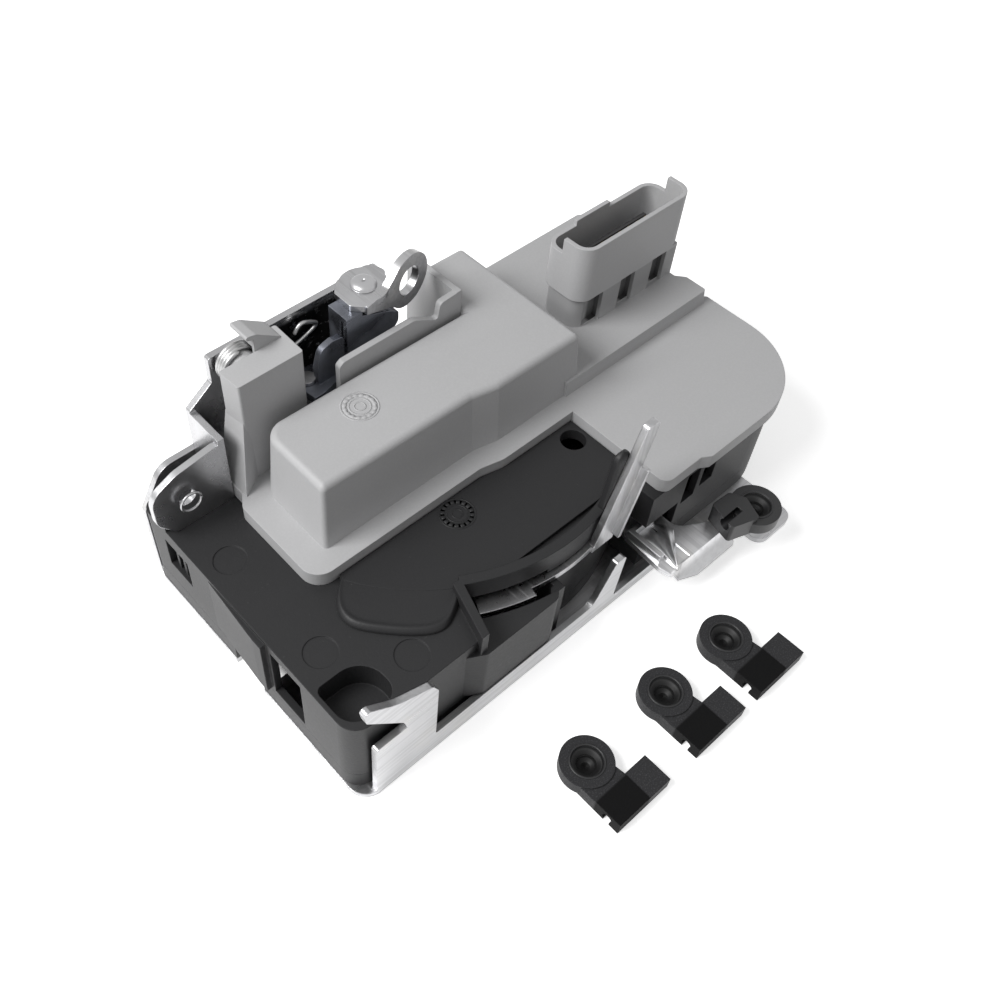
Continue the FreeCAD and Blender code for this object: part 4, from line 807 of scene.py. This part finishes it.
class LATCH_OT_lever(bpy.types.Operator):
    """Press the stamped form of the inside lever"""
    bl_idname = "latch.lever"
    bl_label = "Inside lever"

    def execute(self, context):
        sizes = context.scene.latch_sizes
        self.sheet(sizes)
        self.fan(sizes)
        return {"FINISHED"}

    def sheet(self, sizes):
        """Copy of the lever whose front edge is folded further down: past the crease, depth
        shrinks towards it and height falls in step with the distance. An edge is cut across
        the sheet where the fold is at its deepest, and the plain rib is laid flat."""
        mesh = frame["nodes"]["inside_lever"].data.copy()
        mesh.name = "inside_lever_sheet"
        form = bmesh.new()
        form.from_mesh(mesh)
        bmesh.ops.remove_doubles(form, verts=form.verts, dist=0.01 * MM)
        parts = form.verts[:] + form.edges[:] + form.faces[:]
        bmesh.ops.bisect_plane(form, geom=parts, plane_co=(LEVER_DEEPENS[1] * MM, 0, 0),
                               plane_no=(1, 0, 0))
        form.to_mesh(mesh)
        form.free()
        spots = np.empty(len(mesh.vertices) * 3, dtype=np.float32)
        mesh.vertices.foreach_get("co", spots)
        x, y, z = spots.reshape(-1, 3).T.astype(float) / MM
        past = np.clip((LEVER_CREASE - y) / LEVER_REACH, 0, 1)
        along = np.interp(x, LEVER_DEEPENS, (0, 1))
        fold = FOLD_LOWER_DROP + sizes.fold_depth / MM * along
        drop = np.where(z > FOLD_LEVEL, FOLD_UPPER_DROP, fold)
        x += past * (1 - along) * FOLD_SHIFT
        y = np.where(past > 0, LEVER_CREASE - past * (FOLD_WIDTH + FOLD_WIDENS * along), y)
        z -= past * drop
        on_rib = (z > RIB_Z) & (x > RIB_X[0]) & (x < RIB_X[1]) & (y < RIB_Y)
        z[on_rib] = LEVER_TOP
        spots = np.stack([x, y, z], axis=-1) * MM
        mesh.vertices.foreach_set("co", spots.reshape(-1).astype(np.float32))
        mesh.update()
        lever = bpy.data.objects.new("inside_lever_sheet", mesh)
        bpy.context.scene.collection.objects.link(lever)
        mesh.materials.clear()
        coat(lever, "bright_lever")
        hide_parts("inside_lever")
        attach(lever, "inside_lever")

    def fan(self, sizes):
        """Fan pressed into the sheet: height is a wave over the angle that grows with the
        distance from the corner where its ridges meet, and falls to nothing at the rims."""
        angle = np.linspace(*FAN_ANGLES, 61)
        share = np.linspace(0, 1, 25)
        far = np.interp(angle, FAN_REACH_ANGLES, FAN_REACH)
        across = (FAN_ANGLES[0] - angle) / (FAN_ANGLES[0] - FAN_ANGLES[1])
        wave = sum(height * np.exp(-((across - place) / width) ** 2)
                   for place, width, height in FAN_RIDGES)
        rim = np.clip(np.minimum(across, 1 - across) / FAN_RIM, 0, 1)
        grow = np.sin(np.pi * share ** 0.8) ** 0.9
        out = FAN_START + share[:, None] * (far - FAN_START)[None, :]
        x = FAN_CORNER[0] + out * np.cos(np.radians(angle))[None, :]
        y = FAN_CORNER[1] + out * np.sin(np.radians(angle))[None, :]
        swell = FAN_SKIN + sizes.ridge / MM * wave * grow[:, None]
        top = LEVER_TOP + FAN_LIFT + swell * rim
        top[[0, -1]] = LEVER_TOP
        over = np.stack([x, y, top], axis=-1) * MM
        under = np.stack([x, y, np.full_like(top, LEVER_TOP)], axis=-1) * MM
        dish = skinned("inside_lever_dish", over, under)
        coat(dish, "bright_lever")
        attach(dish, "inside_lever")


class LATCH_OT_rivet(bpy.types.Operator):
    """Turn the rivet of the release lever with its small domed head"""
    bl_idname = "latch.rivet"
    bl_label = "Release lever rivet"

    def execute(self, context):
        """A profile of shank, shelf and head turned about Z; the head's radius falls with a
        power of the cosine as its height rises with the sine."""
        head = context.scene.latch_sizes.rivet_r
        low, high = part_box("lever_rivet")
        shank, journal, core = RIVET_SHANK * MM, RIVET_JOURNAL * MM, RIVET_CORE * MM
        shelf, under = RIVET_SHELF * MM, RIVET_UNDER_HEAD * MM
        profile = [(core, low[2]), (shank, low[2]), (shank, shelf), (journal, shelf),
                   (journal, under), (head, under)]
        for angle in np.linspace(0, math.pi / 2, 9):
            reach = head * math.cos(angle) ** 0.6
            profile.append((max(reach, core), under + (high[2] - under) * math.sin(angle)))
        centre = ((low[0] + high[0]) / 2, (low[1] + high[1]) / 2, 0.0)
        rivet = ring_band("release_lever_rivet", centre, 0.0, profile)
        coat(rivet, "turned_pin")
        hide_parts("lever_rivet")
        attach(rivet, "release_lever")
        return {"FINISHED"}


class LATCH_OT_rim(bpy.types.Operator):
    """Roll the rim round the hole in the ear"""
    bl_idname = "latch.rim"
    bl_label = "Ear rim"

    def execute(self, context):
        """A tube along the circle round the hole's axis, on the front face of the ear; its
        ends overlap a little."""
        radius = context.scene.latch_sizes.rim_r
        turn = np.linspace(0, 2 * math.pi * 1.01, 97)
        circle = np.stack([np.cos(turn), turn * 0, np.sin(turn)], axis=-1)
        path = self.front() + radius * circle
        rim = tube("ear_hole_rim", path, RIM_BEAD * MM, (0, 1, 0), sides=12)
        coat(rim, "zinc_plate_x")
        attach(rim, "latch")
        return {"FINISHED"}

    def front(self):
        """Middle of the hole on the ear's front face, from the frame's mount."""
        hole = next(m for m in frame["record"]["mounts"] if m["name"] == "ear_hole")
        return np.array(hole["pos_m"]) - np.array(hole["axis"]) * hole["dims"]["length_mm"] * MM


class LATCH_OT_backing(bpy.types.Operator):
    """Mould the black backing behind the blade of the lock lever"""
    bl_idname = "latch.backing"
    bl_label = "Blade backing"

    def execute(self, context):
        """Rows run up the leaning bar and columns round it; each section is a rounded
        rectangle that shrinks towards the rounded top."""
        half = np.array([context.scene.latch_sizes.backing_width, BACKING_HALF * MM])
        foot, top = np.array(BACKING_ENDS) * MM
        rise = np.linspace(0, 1, 40)
        near_top = np.clip((rise - 1 + BACKING_ROUND) / BACKING_ROUND, 0, 1)
        shrink = np.sqrt(np.clip(1 - near_top ** 2, TIP ** 2, 1))
        shrink[0] = TIP
        turn = np.linspace(0, 2 * math.pi, 48, endpoint=False)
        circle = np.stack([np.cos(turn), np.sin(turn)], axis=-1)
        section = np.sqrt(np.abs(circle)) * np.sign(circle) * half
        middle = foot + rise[:, None] * (top - foot)
        flat = middle[:, None, :2] + shrink[:, None, None] * section[None]
        height = np.repeat(middle[:, None, 2:], len(turn), axis=1)
        backing = surface("lock_lever_backing", np.concatenate([flat, height], axis=2), False, True)
        outwards(backing)
        coat(backing, "case_black_plastic")
        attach(backing, "lock_lever")
        return {"FINISHED"}


class LATCH_OT_lobe(bpy.types.Operator):
    """Swell the lobe that the deck's pad sends out towards the front corner"""
    bl_idname = "latch.lobe"
    bl_label = "Pad lobe"

    def execute(self, context):
        """Rows run along the lobe's rim and columns from the pad to the rim; the height is
        level, swells into a bead and rounds off to the deck."""
        outer, inner = self.edge(LOBE_RIM), self.edge(LOBE_ROOT)
        gap = np.linalg.norm(outer - inner, axis=1)
        left = np.linspace(1, 0, 30) ** 2
        flat = inner[:, None] * left[None, :, None] + outer[:, None] * (1 - left)[None, :, None]
        away = left[None, :] * gap[:, None]
        drop = np.maximum(LOBE_ROUND - away, 0)
        rounded = np.sqrt(LOBE_ROUND ** 2 - drop ** 2)
        bead = np.exp(-((away - LOBE_ROUND) / LOBE_BEAD_WIDTH) ** 2) * (away > 0)
        top = DECK_LEVEL + rounded + context.scene.latch_sizes.bead / MM * bead
        top[[0, -1]] = LOBE_UNDERSIDE
        low = np.full_like(top, LOBE_UNDERSIDE)
        over, under = (np.concatenate([flat, level[:, :, None]], axis=2) * MM
                       for level in (top, low))
        lobe = skinned("deck_pad_lobe", over, under)
        coat(lobe, "case_black_plastic")
        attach(lobe, "latch")
        return {"FINISHED"}

    def edge(self, corners):
        """Points along an outline at even shares of its length, with its corners softened."""
        points = np.array(corners)
        step = np.linalg.norm(np.diff(points, axis=0), axis=1)
        stations = np.concatenate([[0], np.cumsum(step)]) / step.sum()
        return softened(along_path(points, stations, np.linspace(0, 1, 97)), passes=24)


# Studio

class LATCH_OT_studio(bpy.types.Operator):
    """Set the floor, the soft light and the camera"""
    bl_idname = "latch.studio"
    bl_label = "Studio"

    def execute(self, context):
        scene = context.scene
        scene.view_settings.view_transform = "Standard"
        self.floor()
        self.light(scene)
        self.camera(scene)
        return {"FINISHED"}

    def floor(self):
        """Flat pale floor under the latch. Seen straight or in gloss it is white, apart from the
        patch seen through the mouth, where it has no glow and keeps a painted shade."""
        reach = np.array((-FLOOR_HALF, 0, FLOOR_HALF)) * MM
        x, y = np.meshgrid(reach, reach, indexing="ij")
        drop = np.full_like(x, -FLOOR_DROP * MM)
        floor = surface("floor", np.stack([x, y, drop], axis=-1), False, False)
        f = Finish("floor_paper", "ShaderNodeBsdfDiffuse")
        x, y, _ = f.coordinates()
        # Patch seen through the mouth, left without glow as painted shade
        mouth_shade = x.within(*MOUTH_SHADE_FLOOR[0]) * y.within(*MOUTH_SHADE_FLOOR[1])
        seen = f.in_view()
        f.set(Color=f.mix(seen, FLOOR_GREY, (1.0, 1.0, 1.0)))
        glow = f.node("ShaderNodeEmission", {}, {"Strength": seen * (1 - mouth_shade) * FLOOR_GLOW})
        both = {0: f.shader.outputs[0], 1: glow.outputs[0]}
        f.show(f.node("ShaderNodeAddShader", {}, both))
        coat(floor, "floor_paper")

    def light(self, scene):
        """Soft even room that is brighter where it is seen, and a large lamp at the left."""
        world = bpy.data.worlds.new("soft_room")
        scene.world = world
        room = Shading(world, "ShaderNodeOutputWorld", "ShaderNodeBackground")
        room.set(Strength=room.in_view() * (ROOM_SEEN - ROOM_LIGHT) + ROOM_LIGHT)
        lamp = bpy.data.lights.new("key", "AREA")
        lamp.shape = "DISK"
        lamp.size = LAMP_SIZE * MM
        lamp.energy = scene.latch_sizes.key_power
        key = bpy.data.objects.new("key", lamp)
        self.stand(scene, key, LAMP_PLACE, LAMP_TURNS)

    def camera(self, scene):
        """Camera at the place that was worked out from the photo's straight edges."""
        data = bpy.data.cameras.new("camera")
        data.sensor_width = SENSOR
        data.lens = LENS
        data.shift_x, data.shift_y = SHIFT
        data.clip_start = 10 * MM
        camera = bpy.data.objects.new("camera", data)
        self.stand(scene, camera, CAMERA_PLACE, CAMERA_TURNS)
        scene.camera = camera

    def stand(self, scene, thing, place, turns):
        """Puts a lamp or a camera at a place in millimetres, turned by degrees."""
        thing.location = [length * MM for length in place]
        thing.rotation_euler = Euler([math.radians(angle) for angle in turns])
        scene.collection.objects.link(thing)


class LATCH_PT_panel(bpy.types.Panel):
    """Lists the pieces and settings of the latch"""
    bl_idname = "LATCH_PT_panel"
    bl_label = "Door latch"
    bl_space_type = "VIEW_3D"
    bl_region_type = "UI"
    bl_category = "Latch"

    def draw(self, context):
        layout = self.layout
        for group in (context.scene.latch_colours, context.scene.latch_sizes):
            for key in group.__annotations__:
                layout.prop(group, key)
        for step in STEPS:
            layout.operator(step.bl_idname)


STEPS = (LATCH_OT_plastic, LATCH_OT_steel, LATCH_OT_spring, LATCH_OT_dials, LATCH_OT_lips,
         LATCH_OT_lever, LATCH_OT_rivet, LATCH_OT_rim, LATCH_OT_backing, LATCH_OT_lobe,
         LATCH_OT_studio)
CLASSES = (LatchColours, LatchSizes) + STEPS + (LATCH_PT_panel,)


def register():
    for item in CLASSES:
        bpy.utils.register_class(item)
    bpy.types.Scene.latch_colours = PointerProperty(type=LatchColours)
    bpy.types.Scene.latch_sizes = PointerProperty(type=LatchSizes)


def unregister():
    del bpy.types.Scene.latch_sizes
    del bpy.types.Scene.latch_colours
    for item in reversed(CLASSES):
        bpy.utils.unregister_class(item)


def main():
    register()
    bpy.ops.latch.plastic()
    bpy.ops.latch.steel()
    bpy.ops.latch.spring()
    bpy.ops.latch.dials()
    bpy.ops.latch.lips()
    bpy.ops.latch.lever()
    bpy.ops.latch.rivet()
    bpy.ops.latch.rim()
    bpy.ops.latch.backing()
    bpy.ops.latch.lobe()
    bpy.ops.latch.studio()


if __name__ == "__main__":
    main()
